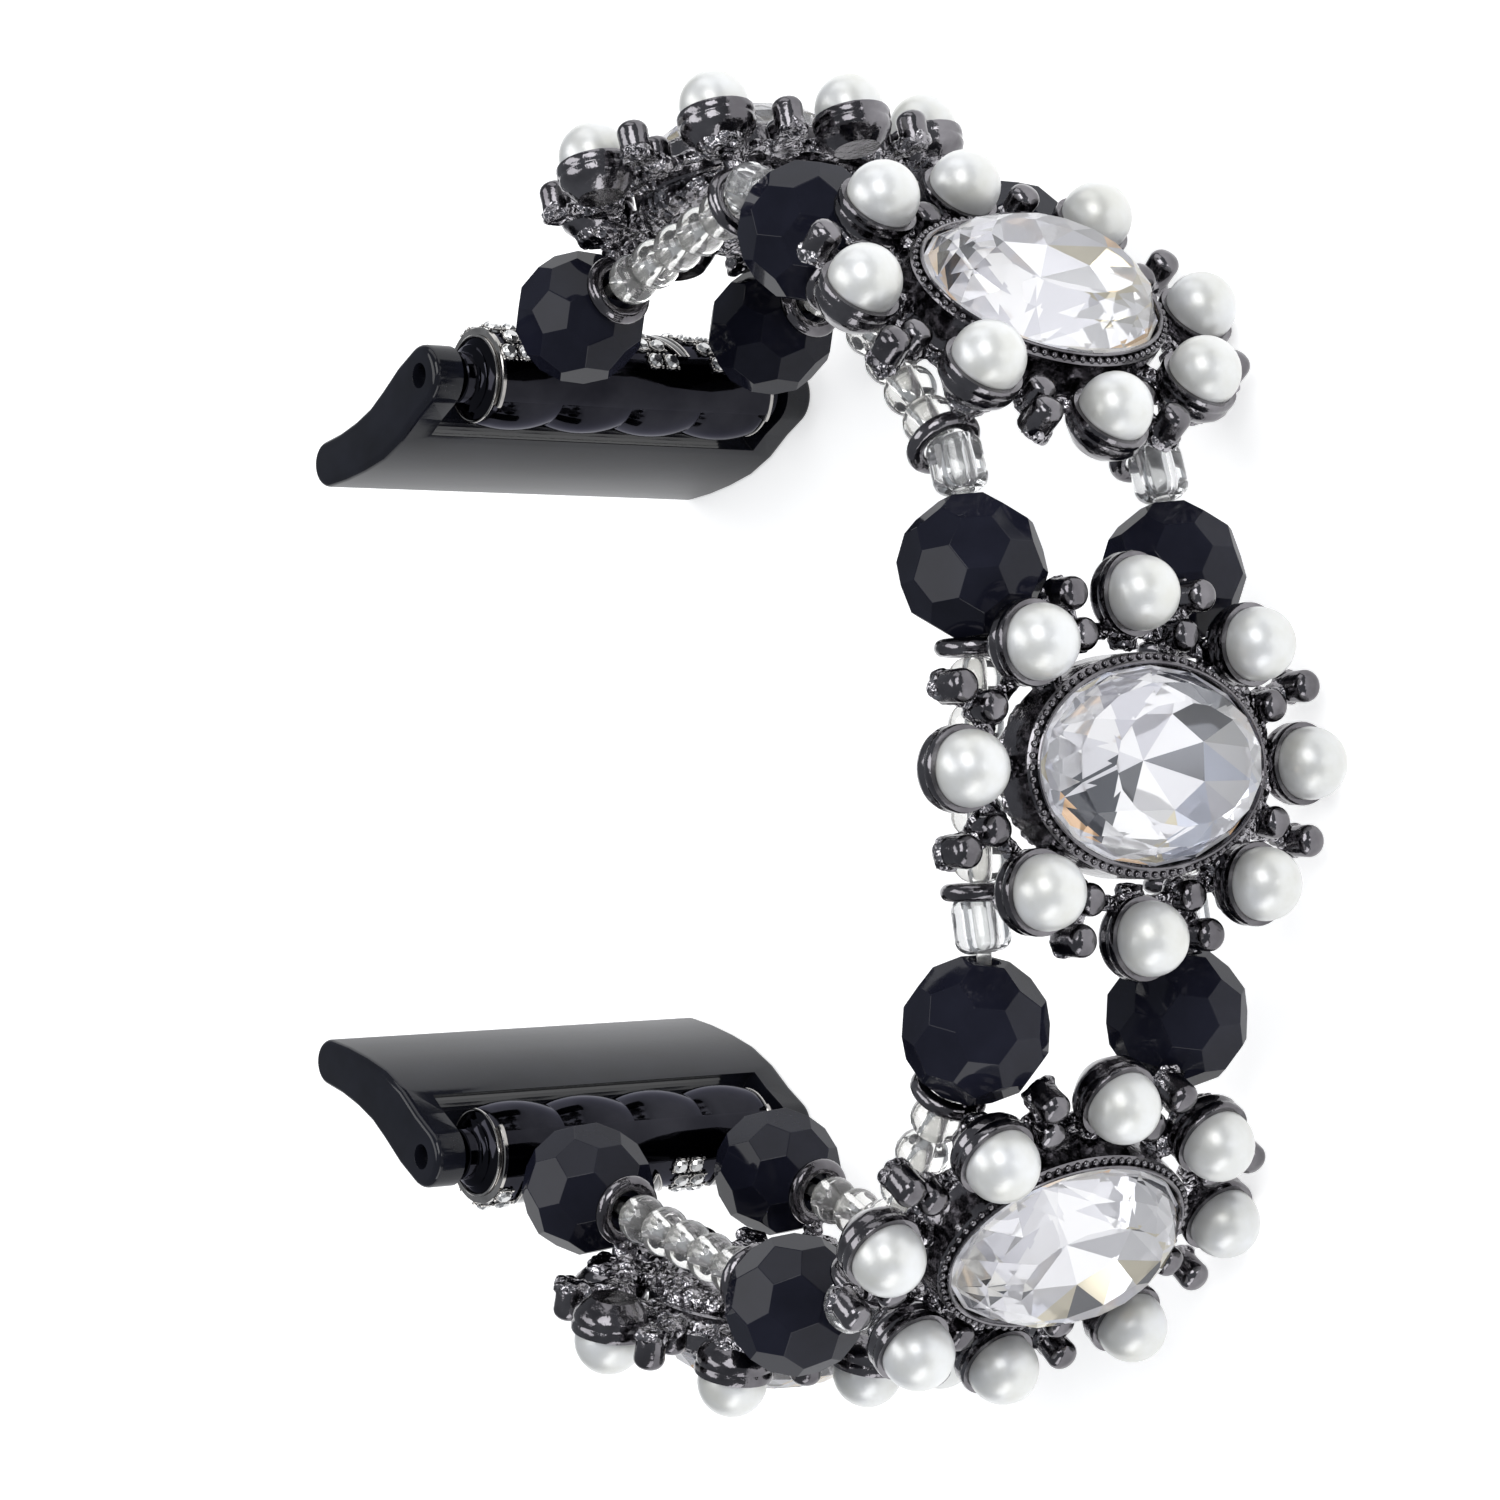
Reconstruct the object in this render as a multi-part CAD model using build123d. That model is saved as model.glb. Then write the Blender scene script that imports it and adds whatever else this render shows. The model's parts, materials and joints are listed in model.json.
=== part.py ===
from build123d import *
import os
from math import acos, atan2, cos, degrees, hypot, radians, sin, sqrt, tan

os.makedirs("parts", exist_ok=True)

# Millimetres. The band lies on its side: X and Y span the loop, and Z runs across the band's width.
# The wearer's hand passes along Z, and the watch sits at the open side of the loop, towards -X.

# Band
band_width = 28.4
strand_spacing = 14.2
cord_diameter = 0.8
cord_arc_share = 0.45
cord_stop_gap = 0.15
running_gap = 0.03
seat_gap = 0.02
overrun = 1.0

# Black faceted beads
bead_diameter = 8.0
bead_bore = 1.4
bead_tilt_share = 0.3
pentagon_reach_share = 0.93910
hexagon_reach_share = 0.91497

# Clear barrels between a medallion and a black bead
barrel_diameter = 3.0
barrel_length = 3.0
barrel_rounding = 0.7
barrel_bore = 1.3
barrel_lean_gap = 0.1

# Clear seed beads under each medallion
seed_diameter = 3.0
seed_rounding = 0.8
seed_bore = 1.1
seed_play = 0.03
seeds_per_strand = 5

# Medallion casting
ring_spacing = 12.8
ring_mean_diameter = 3.3
ring_wire = 0.96
pearl_lift = 5.3
corner_pearl_rise = 0.7
pearl_diameter = 4.0
end_pearl_reach = 9.05
side_pearl_reach = 11.9
corner_pearl_along = 6.4
corner_pearl_across = 7.6
cup_diameter = 4.6
cup_foot_diameter = 2.8
cup_floor = 0.55
cup_waist_drop = 1.3
cup_rim_drop = 0.45
bezel_along = 11.9
bezel_across = 16.8
bezel_wall = 0.65
bezel_back = 0.7
bezel_rise = 0.6
bezel_base = 1.9
bezel_floor_share = 0.62
web_along = 15.4
web_across = 20.8
web_thickness = 0.8
web_base = 3.3
web_hole = 1.1
end_hole_along = 6.75
end_hole_across = 1.5
side_hole_along = 1.9
side_hole_across = 9.3
spoke_width = 1.3
stem_diameter = 1.4
peg_diameter = 1.8
peg_dome = 0.6
inner_peg_drop = 0.1
outer_peg_rise = 0.3
end_peg_inner = (6.9, 3.55)
end_peg_outer = (9.0, 4.5)
side_peg_inner = (3.15, 9.8)
side_peg_outer = (4.2, 12.0)

# Oval crystal
crystal_play = 0.05
crystal_girdle = 0.3
crystal_girdle_drop = 0.1
crown_height = 2.5
pavilion_depth = 2.9
crown_facets = 16
table_share = 0.6
crown_break_share = 0.84
crown_break_height_share = 0.62

# End tube, its jewelled saddle and the watch adapter
tube_lobe_length = 5.2
tube_lobes = 4
tube_diameter = 6.1
tube_notch_diameter = 5.2
tube_bore = 4.2
tube_end_wall = 1.8
collar_length = 1.3
collar_diameter = 3.2
saddle_diameter = 6.3
saddle_length = 20.4
saddle_middle_angle = 82
saddle_spread_angle = 134
saddle_skirt_angle = 45
bead_to_tube_gap = 0.15
pin_diameter = 1.5
pin_running_gap = 0.05
pin_recess = 1.0
crimp_diameter = 1.3
crimp_length = 1.0
crimp_pin_gap = 0.2
ear_thickness = 2.0
ear_diameter = 3.8
blade_root = (-3.4, -2.2)
blade_middle = (-7.2, -3.9)
blade_tip = (-11.3, -4.8)
blade_root_diameter = 3.9
blade_middle_diameter = 3.3
blade_tip_diameter = 2.9
tube_cradle_gap = 0.35

# Rhinestones and enamel stripes on the saddle
stone_diameter = 1.05
stone_height = 0.4
stone_sink = 0.12
stone_table_share = 0.6
stone_to_cord_gap = 0.1
stone_to_enamel_gap = 0.12
stone_rows = 6
stone_pitch = 1.2
enamel_thickness = 0.25
enamel_width = 1.2
enamel_root_share = 0.6
stripe_place_shares = (-0.72, -0.24, 0.24, 0.72)
stripe_lean_angle = 24

# Rest shape: the outward direction of each medallion from the middle of the loop, and of each link
medallion_angles = {1: 108.0, 2: 44.0, 3: 2.5, 4: -32.8, 5: -101.6}
link_angles = {(1, 2): 61.0, (2, 3): 13.0, (3, 4): -4.0, (4, 5): -82.0}
top_end_angle = 116.0
bottom_end_angle = -102.5

# Sizes that follow from the ones above
cord_radius = cord_diameter / 2
bead_radius = bead_diameter / 2
bead_mouth = bead_radius * pentagon_reach_share
pearl_radius = pearl_diameter / 2
ring_radius = ring_mean_diameter / 2
ring_wire_radius = ring_wire / 2
tube_radius = tube_diameter / 2
strand_offset = strand_spacing / 2
half_width = band_width / 2
ring_reach = ring_spacing / 2
barrel_flat = (barrel_length / 2 - barrel_rounding, barrel_diameter / 2 - barrel_rounding)
barrel_corner = hypot(*barrel_flat) + barrel_rounding
bead_to_ring = sqrt((bead_radius + ring_wire_radius + running_gap) ** 2 - ring_radius ** 2)
barrel_to_ring = sqrt((barrel_corner + ring_wire_radius + running_gap) ** 2 - ring_radius ** 2)
barrel_to_bead = bead_radius + barrel_length / 2 + barrel_lean_gap
tube_length = tube_lobe_length * tube_lobes
saddle_radius = saddle_diameter / 2
stone_top = saddle_radius + seat_gap + stone_height
bead_to_tube = bead_radius + stone_top + bead_to_tube_gap
cord_end_reach = pin_diameter / 2 + crimp_pin_gap
seed_pitch = (ring_spacing - ring_wire) / seeds_per_strand
seed_length = seed_pitch - seed_play
blade_diameters = (ear_diameter, blade_root_diameter, blade_middle_diameter, blade_tip_diameter)
blade_places = ((0, 0), blade_root, blade_middle, blade_tip)


def outward(angle):
    return Vector(cos(radians(angle)), sin(radians(angle)))


def along(angle):
    return Vector(-sin(radians(angle)), cos(radians(angle)))


def across(offset):
    return Vector(0, 0, offset)


def heading(vector):
    """Angle whose along() direction is this vector."""
    return degrees(atan2(-vector.X, vector.Y))


def chain():
    """Places of the medallions, beads and barrels at rest, from the middle medallion out to both ends."""
    middles = {3: Vector(0, 0)}
    beads = {}
    barrels = {}
    for low, up in ((3, 2), (2, 1)):
        beads[(up, low)] = middles[low] + along(medallion_angles[low]) * (ring_reach + bead_to_ring)
        barrels[(up, low)] = beads[(up, low)] + along(link_angles[(up, low)]) * barrel_to_bead
        middles[up] = barrels[(up, low)] + along(medallion_angles[up]) * (barrel_to_ring + ring_reach)
    for up, low in ((3, 4), (4, 5)):
        barrels[(up, low)] = middles[up] - along(medallion_angles[up]) * (barrel_to_ring + ring_reach)
        beads[(up, low)] = barrels[(up, low)] - along(link_angles[(up, low)]) * barrel_to_bead
        middles[low] = beads[(up, low)] - along(medallion_angles[low]) * (bead_to_ring + ring_reach)
    return middles, beads, barrels


middles, gap_beads, gap_barrels = chain()
top_bead = middles[1] + along(medallion_angles[1]) * (ring_reach + bead_to_ring)
bottom_bead = middles[5] - along(medallion_angles[5]) * (ring_reach + bead_to_ring)
top_tube = top_bead + along(top_end_angle) * bead_to_tube
bottom_tube = bottom_bead - along(bottom_end_angle) * bead_to_tube


def leaning(rest, neighbour):
    """A bead's own direction leans a share of the way from its link towards the medallion beside it."""
    return rest + (neighbour - rest) * bead_tilt_share


def local_frame(place, angle):
    """Local X runs along the band, local Y across it and local Z outwards."""
    return Location(Plane(origin=place, x_dir=along(angle), z_dir=outward(angle)))


def turned(solid, place, angle):
    """Turns a piece made about local X so that X lies along the band at this place."""
    return local_frame(place, angle) * solid


def oval(along_size, across_size):
    return Ellipse(along_size / 2, across_size / 2)


def cut_by_plane(solid, place, direction):
    return split(solid, bisect_by=Plane(origin=place, z_dir=direction), keep=Keep.BOTTOM)


def faceted_bead():
    """Round bead cut with twelve five-sided and twenty six-sided facets, bored along X."""
    golden = (1 + sqrt(5)) / 2
    unit_side = 2
    unit_tolerance = 0.01
    corners = []
    for first in (-1, 1):
        for second in (-1, 1):
            corners += [Vector(0, first, second * golden), Vector(first, second * golden, 0)]
            corners += [Vector(second * golden, 0, first)]
    middles_of_faces = []
    for one in range(len(corners)):
        for two in range(one):
            for three in range(two):
                trio = (corners[one], corners[two], corners[three])
                sides = [trio[index] - trio[index - 1] for index in range(len(trio))]
                if all(abs(side.length - unit_side) < unit_tolerance for side in sides):
                    middles_of_faces.append((trio[0] + trio[1] + trio[2]).normalized())
    pole = corners[0].normalized()
    upright = Plane(origin=(0, 0, 0), z_dir=pole)
    bead = Box(bead_diameter, bead_diameter, bead_diameter)
    facets = [(corner.normalized(), pentagon_reach_share) for corner in corners]
    facets += [(middle, hexagon_reach_share) for middle in middles_of_faces]
    for direction, share in facets:
        facing = upright.to_local_coords(direction)
        bead = cut_by_plane(bead, facing * bead_radius * share, facing)
    bead -= Cylinder(bead_bore / 2, bead_diameter + overrun)
    return Rot(0, 90, 0) * bead


def round_bead(outer, length, bore, rounding):
    """Rounded glass ring or barrel, bored along X."""
    body = Cylinder(outer / 2, length)
    body = fillet(body.edges(), rounding)
    body -= Cylinder(bore / 2, length + overrun)
    return Rot(0, 90, 0) * body


def cup():
    """Bowl that holds one pearl, drawn about the pearl's middle."""
    floor = -pearl_radius - seat_gap - cup_floor
    foot = cup_foot_diameter / 2
    rim = cup_diameter / 2
    points = [(0, floor), (foot, floor), (rim, -cup_waist_drop), (rim, -cup_rim_drop), (0, -cup_rim_drop)]
    section = make_face(Polyline([(x, 0, z) for x, z in points], close=True))
    return revolve(section, Axis.Z)


def peg(place, top):
    """Domed post from the web up to its top height."""
    height = top - web_base
    post = Pos(place[0], place[1], web_base + height / 2) * Cylinder(peg_diameter / 2, height)
    return fillet(post.edges().sort_by(Axis.Z)[-1], peg_dome)


def strut(start, end, width, base, height):
    """Flat bar between two places on the web."""
    length = hypot(end[0] - start[0], end[1] - start[1])
    bar = Box(length, width, height)
    middle = ((start[0] + end[0]) / 2, (start[1] + end[1]) / 2, base + height / 2)
    return Pos(*middle) * Rot(0, 0, degrees(atan2(end[1] - start[1], end[0] - start[0]))) * bar


def mirrored_places(place):
    return [(x_side * place[0], y_side * place[1]) for x_side in (-1, 1) for y_side in (-1, 1)]


def pearl_places():
    places = [(side * end_pearl_reach, 0, pearl_lift) for side in (-1, 1)]
    places += [(0, side * side_pearl_reach, pearl_lift) for side in (-1, 1)]
    corner = (corner_pearl_along, corner_pearl_across)
    places += [(x, y, pearl_lift + corner_pearl_rise) for x, y in mirrored_places(corner)]
    return places


def medallion_casting():
    """Openwork mount: oval bezel, web with spokes, pearl cups, pegs and four cord rings."""
    rim_top = pearl_lift + bezel_rise
    pieces = [Pos(0, 0, bezel_base) * extrude(oval(bezel_along, bezel_across), rim_top - bezel_base)]
    pieces.append(Pos(0, 0, web_base) * extrude(oval(web_along, web_across), web_thickness))
    for x, y, z in pearl_places():
        pieces.append(Pos(x, y, z) * cup())
        pieces.append(strut((0, 0), (x, y), spoke_width, web_base, web_thickness + spoke_width / 2))
    for inner, outer in ((end_peg_inner, end_peg_outer), (side_peg_inner, side_peg_outer)):
        for near, far in zip(mirrored_places(inner), mirrored_places(outer)):
            pieces.append(peg(near, pearl_lift - inner_peg_drop))
            pieces.append(peg(far, pearl_lift + outer_peg_rise))
            pieces.append(strut(near, far, spoke_width, web_base, web_thickness))
            pieces.append(strut((near[0] * bezel_floor_share, near[1] * bezel_floor_share), near,
                                spoke_width, web_base, web_thickness))
    for x, y in mirrored_places((ring_reach, strand_offset)):
        pieces.append(Pos(x, y, 0) * Rot(0, 90, 0) * Torus(ring_radius, ring_wire_radius))
        stem_height = web_base + web_thickness - ring_radius
        pieces.append(Pos(x, y, ring_radius + stem_height / 2) * Cylinder(stem_diameter / 2, stem_height))
    body = Part() + pieces
    for x, y, z in pearl_places():
        body -= Pos(x, y, z) * Sphere(pearl_radius + seat_gap)
    for place in ((end_hole_along, end_hole_across), (side_hole_along, side_hole_across)):
        for x, y in mirrored_places(place):
            body -= Pos(x, y, web_base) * Cylinder(web_hole / 2, bezel_along)
    seat_size = (bezel_along - 2 * bezel_wall, bezel_across - 2 * bezel_wall)
    seat = oval(*seat_size)
    floor = oval(*(size * bezel_floor_share for size in seat_size))
    ledge = rim_top - crystal_girdle_drop - crystal_girdle
    body -= Pos(0, 0, ledge) * extrude(seat, rim_top)
    body -= loft([Pos(0, 0, bezel_base + bezel_back) * floor, Pos(0, 0, ledge) * seat])
    for x, y in mirrored_places((ring_reach, strand_offset)):
        body -= Pos(x, y, 0) * Rot(0, 90, 0) * Cylinder(ring_radius - ring_wire_radius, ring_wire + overrun)
    return body


def oval_crystal():
    """Faceted oval stone: girdle, two rows of crown facets under a flat table, and a pointed back."""
    semi_along = bezel_along / 2 - bezel_wall - crystal_play
    semi_across = bezel_across / 2 - bezel_wall - crystal_play
    top = pearl_lift + bezel_rise - crystal_girdle_drop
    base = top - crystal_girdle
    stone = extrude(Pos(0, 0, base) * Ellipse(semi_along, semi_across), crystal_girdle + crown_height)
    pavilion = extrude(Pos(0, 0, base) * Ellipse(semi_along, semi_across), -pavilion_depth)
    break_height = crown_height * crown_break_height_share
    rows = ((0, 1, 0, crown_break_share, break_height),
            (0.5, crown_break_share, break_height, table_share, crown_height))
    for step, low_share, low, high_share, high in rows:
        slope = (high - low) / (low_share - high_share)
        for facet in range(crown_facets):
            turn = radians(360 / crown_facets * (facet + step))
            low_along, low_across = semi_along * low_share, semi_across * low_share
            place = Vector(low_along * cos(turn), low_across * sin(turn), top + low)
            facing = Vector(cos(turn) / semi_along, sin(turn) / semi_across, 1 / slope)
            stone = cut_by_plane(stone, place, facing)
    keel = pavilion_depth / (1 - table_share * bezel_floor_share)
    for facet in range(crown_facets):
        turn = radians(360 / crown_facets * facet)
        place = Vector(semi_along * cos(turn), semi_across * sin(turn), base)
        facing = Vector(cos(turn) / semi_along, sin(turn) / semi_across, -1 / keel)
        pavilion = cut_by_plane(pavilion, place, facing)
    return stone + pavilion


def seed_beads():
    """Rows of small clear beads between the rings of one medallion, on both strands."""
    bead = round_bead(seed_diameter, seed_length, seed_bore, seed_rounding)
    beads = []
    for side in (-1, 1):
        for index in range(seeds_per_strand):
            x = (index - (seeds_per_strand - 1) / 2) * seed_pitch
            beads.append(Pos(x, side * strand_offset, 0) * bead)
    return beads


def cord_run(start, end):
    """Straight stretch of cord between two points."""
    run = end - start
    return Plane(origin=start, z_dir=run) * extrude(Circle(cord_radius), run.length)


def medallion_cord():
    """Two strands through the rings and seed beads of one medallion."""
    upper = ring_reach + bead_to_ring - bead_radius - cord_stop_gap
    lower = ring_reach + barrel_to_ring - barrel_corner - cord_stop_gap
    places = [side * strand_offset for side in (-1, 1)]
    return [cord_run(Vector(-lower, place), Vector(upper, place)) for place in places]


def bent_cord(points):
    """Cord along a route that turns once, with a round bend."""
    first = points[1] - points[0]
    second = points[2] - points[1]
    turn = radians(first.get_angle(second))
    radius = cord_arc_share * min(first.length, second.length) / tan(turn / 2)
    print(f"cord arc radius {radius:.1f}")
    path = FilletPolyline(points, radius=radius)
    return sweep(Plane(origin=points[0], z_dir=first) * Circle(cord_radius), path)


def end_tube(angle_sign):
    """Hollow tube of four rounded lobes with a collar at each end and a saddle for the stones, whose plain
    skirt runs on towards the inside of the band."""
    lobes = []
    bulge = (tube_diameter - tube_notch_diameter) / 2
    lobe_radius = (tube_lobe_length ** 2 / 4 + bulge ** 2) / (2 * bulge)
    edge = [(0, -tube_length / 2), (tube_notch_diameter / 2, -tube_length / 2)]
    profile = [Polyline([(x, 0, z) for x, z in edge])]
    for index in range(tube_lobes):
        low = -tube_length / 2 + index * tube_lobe_length
        start = (tube_notch_diameter / 2, 0, low)
        end = (tube_notch_diameter / 2, 0, low + tube_lobe_length)
        middle = (tube_radius, 0, low + tube_lobe_length / 2)
        profile.append(ThreePointArc(start, middle, end))
    top = [(tube_notch_diameter / 2, tube_length / 2), (0, tube_length / 2), (0, -tube_length / 2)]
    profile.append(Polyline([(x, 0, z) for x, z in top]))
    body = revolve(make_face(profile), Axis.Z)
    for side in (-1, 1):
        place = side * (tube_length + collar_length) / 2
        body += Pos(0, 0, place) * Cylinder(collar_diameter / 2, collar_length)
    middle_angle = (saddle_middle_angle - saddle_skirt_angle / 2) * angle_sign
    shell = Cylinder(saddle_radius, saddle_length)
    shell -= Cylinder(tube_notch_diameter / 2, saddle_length + overrun)
    body += shell & wedge(middle_angle, saddle_spread_angle + saddle_skirt_angle, saddle_length)
    body -= Cylinder(tube_bore / 2, tube_length - 2 * tube_end_wall)
    body -= Cylinder(pin_diameter / 2 + pin_running_gap, tube_length + tube_diameter)
    return body


def wedge(middle_angle, spread, length):
    """Sector about Z that keeps the part of a ring within the spread of angles."""
    reach = tube_diameter
    steps = [middle_angle + spread * share for share in (-0.5, -0.25, 0, 0.25, 0.5)]
    points = [(0, 0)] + [(reach * cos(radians(step)), reach * sin(radians(step))) for step in steps]
    return Pos(0, 0, -length / 2) * extrude(make_face(Polyline(points, close=True)), length)


def stone():
    """Small cut stone with its flat table outwards along X."""
    base = stone_diameter / 2
    table = base * stone_table_share
    points = [(-stone_sink, 0), (-stone_sink, base), (0, base), (stone_height, table), (stone_height, 0)]
    return revolve(make_face(Polyline(points, close=True)), Axis.X)


def stripe_lean(angle, place):
    """Place of a leaning stripe along Z at this angle round the saddle."""
    return place + radians(angle) * saddle_radius * sin(radians(stripe_lean_angle))


def over_cord(angle, place, cord_angle):
    """Whether a stone at this angle and place would cover a cord hole of the saddle."""
    room = (stone_diameter + cord_diameter) / 2 + stone_to_cord_gap
    round_saddle = radians(angle - cord_angle) * saddle_radius
    return hypot(round_saddle, abs(place) - strand_offset) < room


def saddle_stones(angle_sign, cord_angle):
    """Rows of stones over the saddle, leaving room for the enamel stripes and the cords."""
    single = stone()
    pitch_angle = degrees(stone_pitch / saddle_radius)
    rows_along = int(saddle_length / stone_pitch)
    stones = []
    for row in range(stone_rows):
        angle = (row - (stone_rows - 1) / 2) * pitch_angle
        shift = stone_pitch / 2 * (row % 2)
        for index in range(rows_along):
            place = (index - (rows_along - 1) / 2) * stone_pitch + shift
            stripes = [stripe_lean(angle, share * saddle_length / 2) for share in stripe_place_shares]
            gap = min(abs(place - stripe) for stripe in stripes)
            if gap < (enamel_width + stone_diameter) / 2 + stone_to_enamel_gap:
                continue
            if abs(place) > (saddle_length - stone_diameter) / 2:
                continue
            if over_cord(saddle_middle_angle * angle_sign + angle, place, cord_angle):
                continue
            turn = Rot(0, 0, saddle_middle_angle * angle_sign + angle)
            stones.append(turn * Pos(saddle_radius + seat_gap + stone_sink, 0, place) * single)
    return stones


def enamel_stripes(angle_sign):
    """Thin leaning stripes of enamel that lie on the saddle between the stones."""
    outer = saddle_radius + seat_gap + enamel_thickness
    reach = radians(saddle_spread_angle / 2) * saddle_radius
    shell = Cylinder(outer, saddle_length) - Cylinder(saddle_radius + seat_gap, saddle_length + overrun)
    stripes = []
    for share in stripe_place_shares:
        place = share * saddle_length / 2
        lean = sin(radians(stripe_lean_angle)) * reach
        half = enamel_width / 2
        tip = stone_diameter
        points = [(-reach + tip, place - lean - half * enamel_root_share), (0, place - half),
                  (reach - tip, place + lean), (0, place + half),
                  (-reach + tip, place - lean + half * enamel_root_share)]
        slab = extrude(Plane.YZ * make_face(Polyline(points, close=True)), saddle_radius + tube_diameter)
        stripes.append(Rot(0, 0, saddle_middle_angle * angle_sign) * (slab & shell))
    return stripes


def tapered_bar(start, start_diameter, end, end_diameter):
    """Flat shape that wraps two circles, like a belt round two pulleys."""
    run = Vector(*end) - Vector(*start)
    facing = degrees(atan2(run.Y, run.X))
    turn = degrees(acos((start_diameter - end_diameter) / 2 / run.length))
    points = [Vector(*start) + outward(facing + side * turn) * start_diameter / 2 for side in (1, -1)]
    points += [Vector(*end) + outward(facing + side * turn) * end_diameter / 2 for side in (-1, 1)]
    middle = make_face(Polyline(points, close=True))
    return middle + Pos(*start) * Circle(start_diameter / 2) + Pos(*end) * Circle(end_diameter / 2)


def lug_adapter():
    """Curved blade that slides into the watch's lug slot, with an ear for the pin at each end."""
    blade = Sketch()
    for index in range(len(blade_places) - 1):
        start, end = blade_places[index:index + 2]
        start_diameter, end_diameter = blade_diameters[index:index + 2]
        blade += tapered_bar(start, start_diameter, end, end_diameter)
    body = Pos(0, 0, -half_width) * extrude(blade, band_width)
    room = band_width - 2 * ear_thickness
    body -= Cylinder(stone_top + tube_cradle_gap, room)
    body -= Cylinder(pin_diameter / 2 + seat_gap, band_width + overrun)
    return body


def crimp():
    """Small tube squeezed on the end of the cord, bored along Z."""
    bore = Cylinder(cord_radius + running_gap, crimp_length + overrun)
    return Cylinder(crimp_diameter / 2, crimp_length) - bore


def hinge_pin():
    return Cylinder(pin_diameter / 2, band_width - 2 * pin_recess)


nodes = {}
casting = medallion_casting()
crystal = oval_crystal()
black_bead = faceted_bead()
barrel = round_bead(barrel_diameter, barrel_length, barrel_bore, barrel_rounding)
pearl = Sphere(pearl_radius)

for number, angle in medallion_angles.items():
    frame = local_frame(middles[number], angle)
    nodes[f"medallion_{number}_casting"] = [frame * casting]
    nodes[f"medallion_{number}_crystal"] = [frame * crystal]
    nodes[f"medallion_{number}_pearls"] = [frame * Pos(*place) * pearl for place in pearl_places()]
    nodes[f"medallion_{number}_seed_beads"] = [frame * bead for bead in seed_beads()]
    nodes[f"medallion_{number}_elastic"] = [frame * cord for cord in medallion_cord()]

for (up, low), link_angle in link_angles.items():
    bead_place = gap_beads[(up, low)]
    barrel_place = gap_barrels[(up, low)]
    bead_angle = leaning(link_angle, medallion_angles[low])
    mouth = bead_place + along(bead_angle) * bead_mouth
    far_mouth = bead_place - along(bead_angle) * bead_mouth
    barrel_angle = heading(barrel_place - mouth)
    barrel_end = barrel_place + along(barrel_angle) * barrel_length / 2
    barrels = []
    cords = []
    for name, offset in (("near", strand_offset), ("far", -strand_offset)):
        shift = across(offset)
        nodes[f"gap_{up}{low}_{name}_bead"] = [turned(black_bead, bead_place + shift, bead_angle)]
        barrels.append(turned(barrel, barrel_place + shift, barrel_angle))
        cords.append(bent_cord([barrel_end + shift, mouth + shift, far_mouth + shift]))
    nodes[f"gap_{up}{low}_clear_barrels"] = barrels
    nodes[f"gap_{up}{low}_elastic"] = cords

ends = (("top", top_bead, top_tube, top_end_angle, medallion_angles[1], 1),
        ("bottom", bottom_bead, bottom_tube, bottom_end_angle, medallion_angles[5], -1))
for end, bead_place, tube_place, end_angle, neighbour, sign in ends:
    bead_angle = leaning(end_angle, neighbour)
    towards_tube = along(bead_angle) * sign
    mouth = bead_place + towards_tube * bead_mouth
    far_mouth = bead_place - towards_tube * bead_mouth
    inward = (mouth - tube_place).normalized()
    cord_end = tube_place + inward * cord_end_reach
    cord_angle = degrees(atan2(inward.Y, inward.X))
    crimp_place = cord_end + inward * crimp_length / 2
    tube = Pos(*tube_place) * end_tube(sign)
    cords = []
    crimps = []
    for name, offset in (("near", strand_offset), ("far", -strand_offset)):
        shift = across(offset)
        nodes[f"{end}_{name}_bead"] = [turned(black_bead, bead_place + shift, bead_angle)]
        cords.append(bent_cord([far_mouth + shift, mouth + shift, cord_end + shift]))
        crimps.append(Plane(origin=crimp_place + shift, z_dir=inward) * crimp())
        hole = Plane(origin=crimp_place + shift, z_dir=inward)
        tube -= hole * extrude(Circle(cord_radius + running_gap), saddle_radius)
    nodes[f"{end}_end_tube"] = [tube]
    nodes[f"{end}_end_elastic"] = cords
    nodes[f"{end}_cord_crimps"] = crimps
    nodes[f"{end}_rhinestones"] = [Pos(*tube_place) * piece for piece in saddle_stones(sign, cord_angle)]
    nodes[f"{end}_enamel_stripes"] = [Pos(*tube_place) * piece for piece in enamel_stripes(sign)]
    adapter = lug_adapter()
    if sign < 0:
        adapter = mirror(adapter, about=Plane.XZ)
    nodes[f"{end}_lug_adapter"] = [Pos(*tube_place) * adapter]
    nodes[f"{end}_hinge_pin"] = [Pos(*tube_place) * hinge_pin()]

# The row's origin is the middle of the underside of the whole band
boxes = [piece.bounding_box() for pieces in nodes.values() for piece in pieces]
low_x, high_x = min(box.min.X for box in boxes), max(box.max.X for box in boxes)
low_y, high_y = min(box.min.Y for box in boxes), max(box.max.Y for box in boxes)
origin = Vector((low_x + high_x) / 2, (low_y + high_y) / 2, min(box.min.Z for box in boxes))
for name, pieces in nodes.items():
    moved = [Pos(*(origin * -1)) * piece for piece in pieces]
    solids = [solid for piece in moved for solid in piece.solids()]
    shape = solids[0] if len(solids) == 1 else Compound(children=solids)
    export_step(shape, f"parts/{name}.step")
    print(f"{name}: {len(solids)} solids")
print("origin", origin)
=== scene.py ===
import bpy
import bmesh
import json
import math
import random
from mathutils import Matrix, Vector, noise as field


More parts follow.
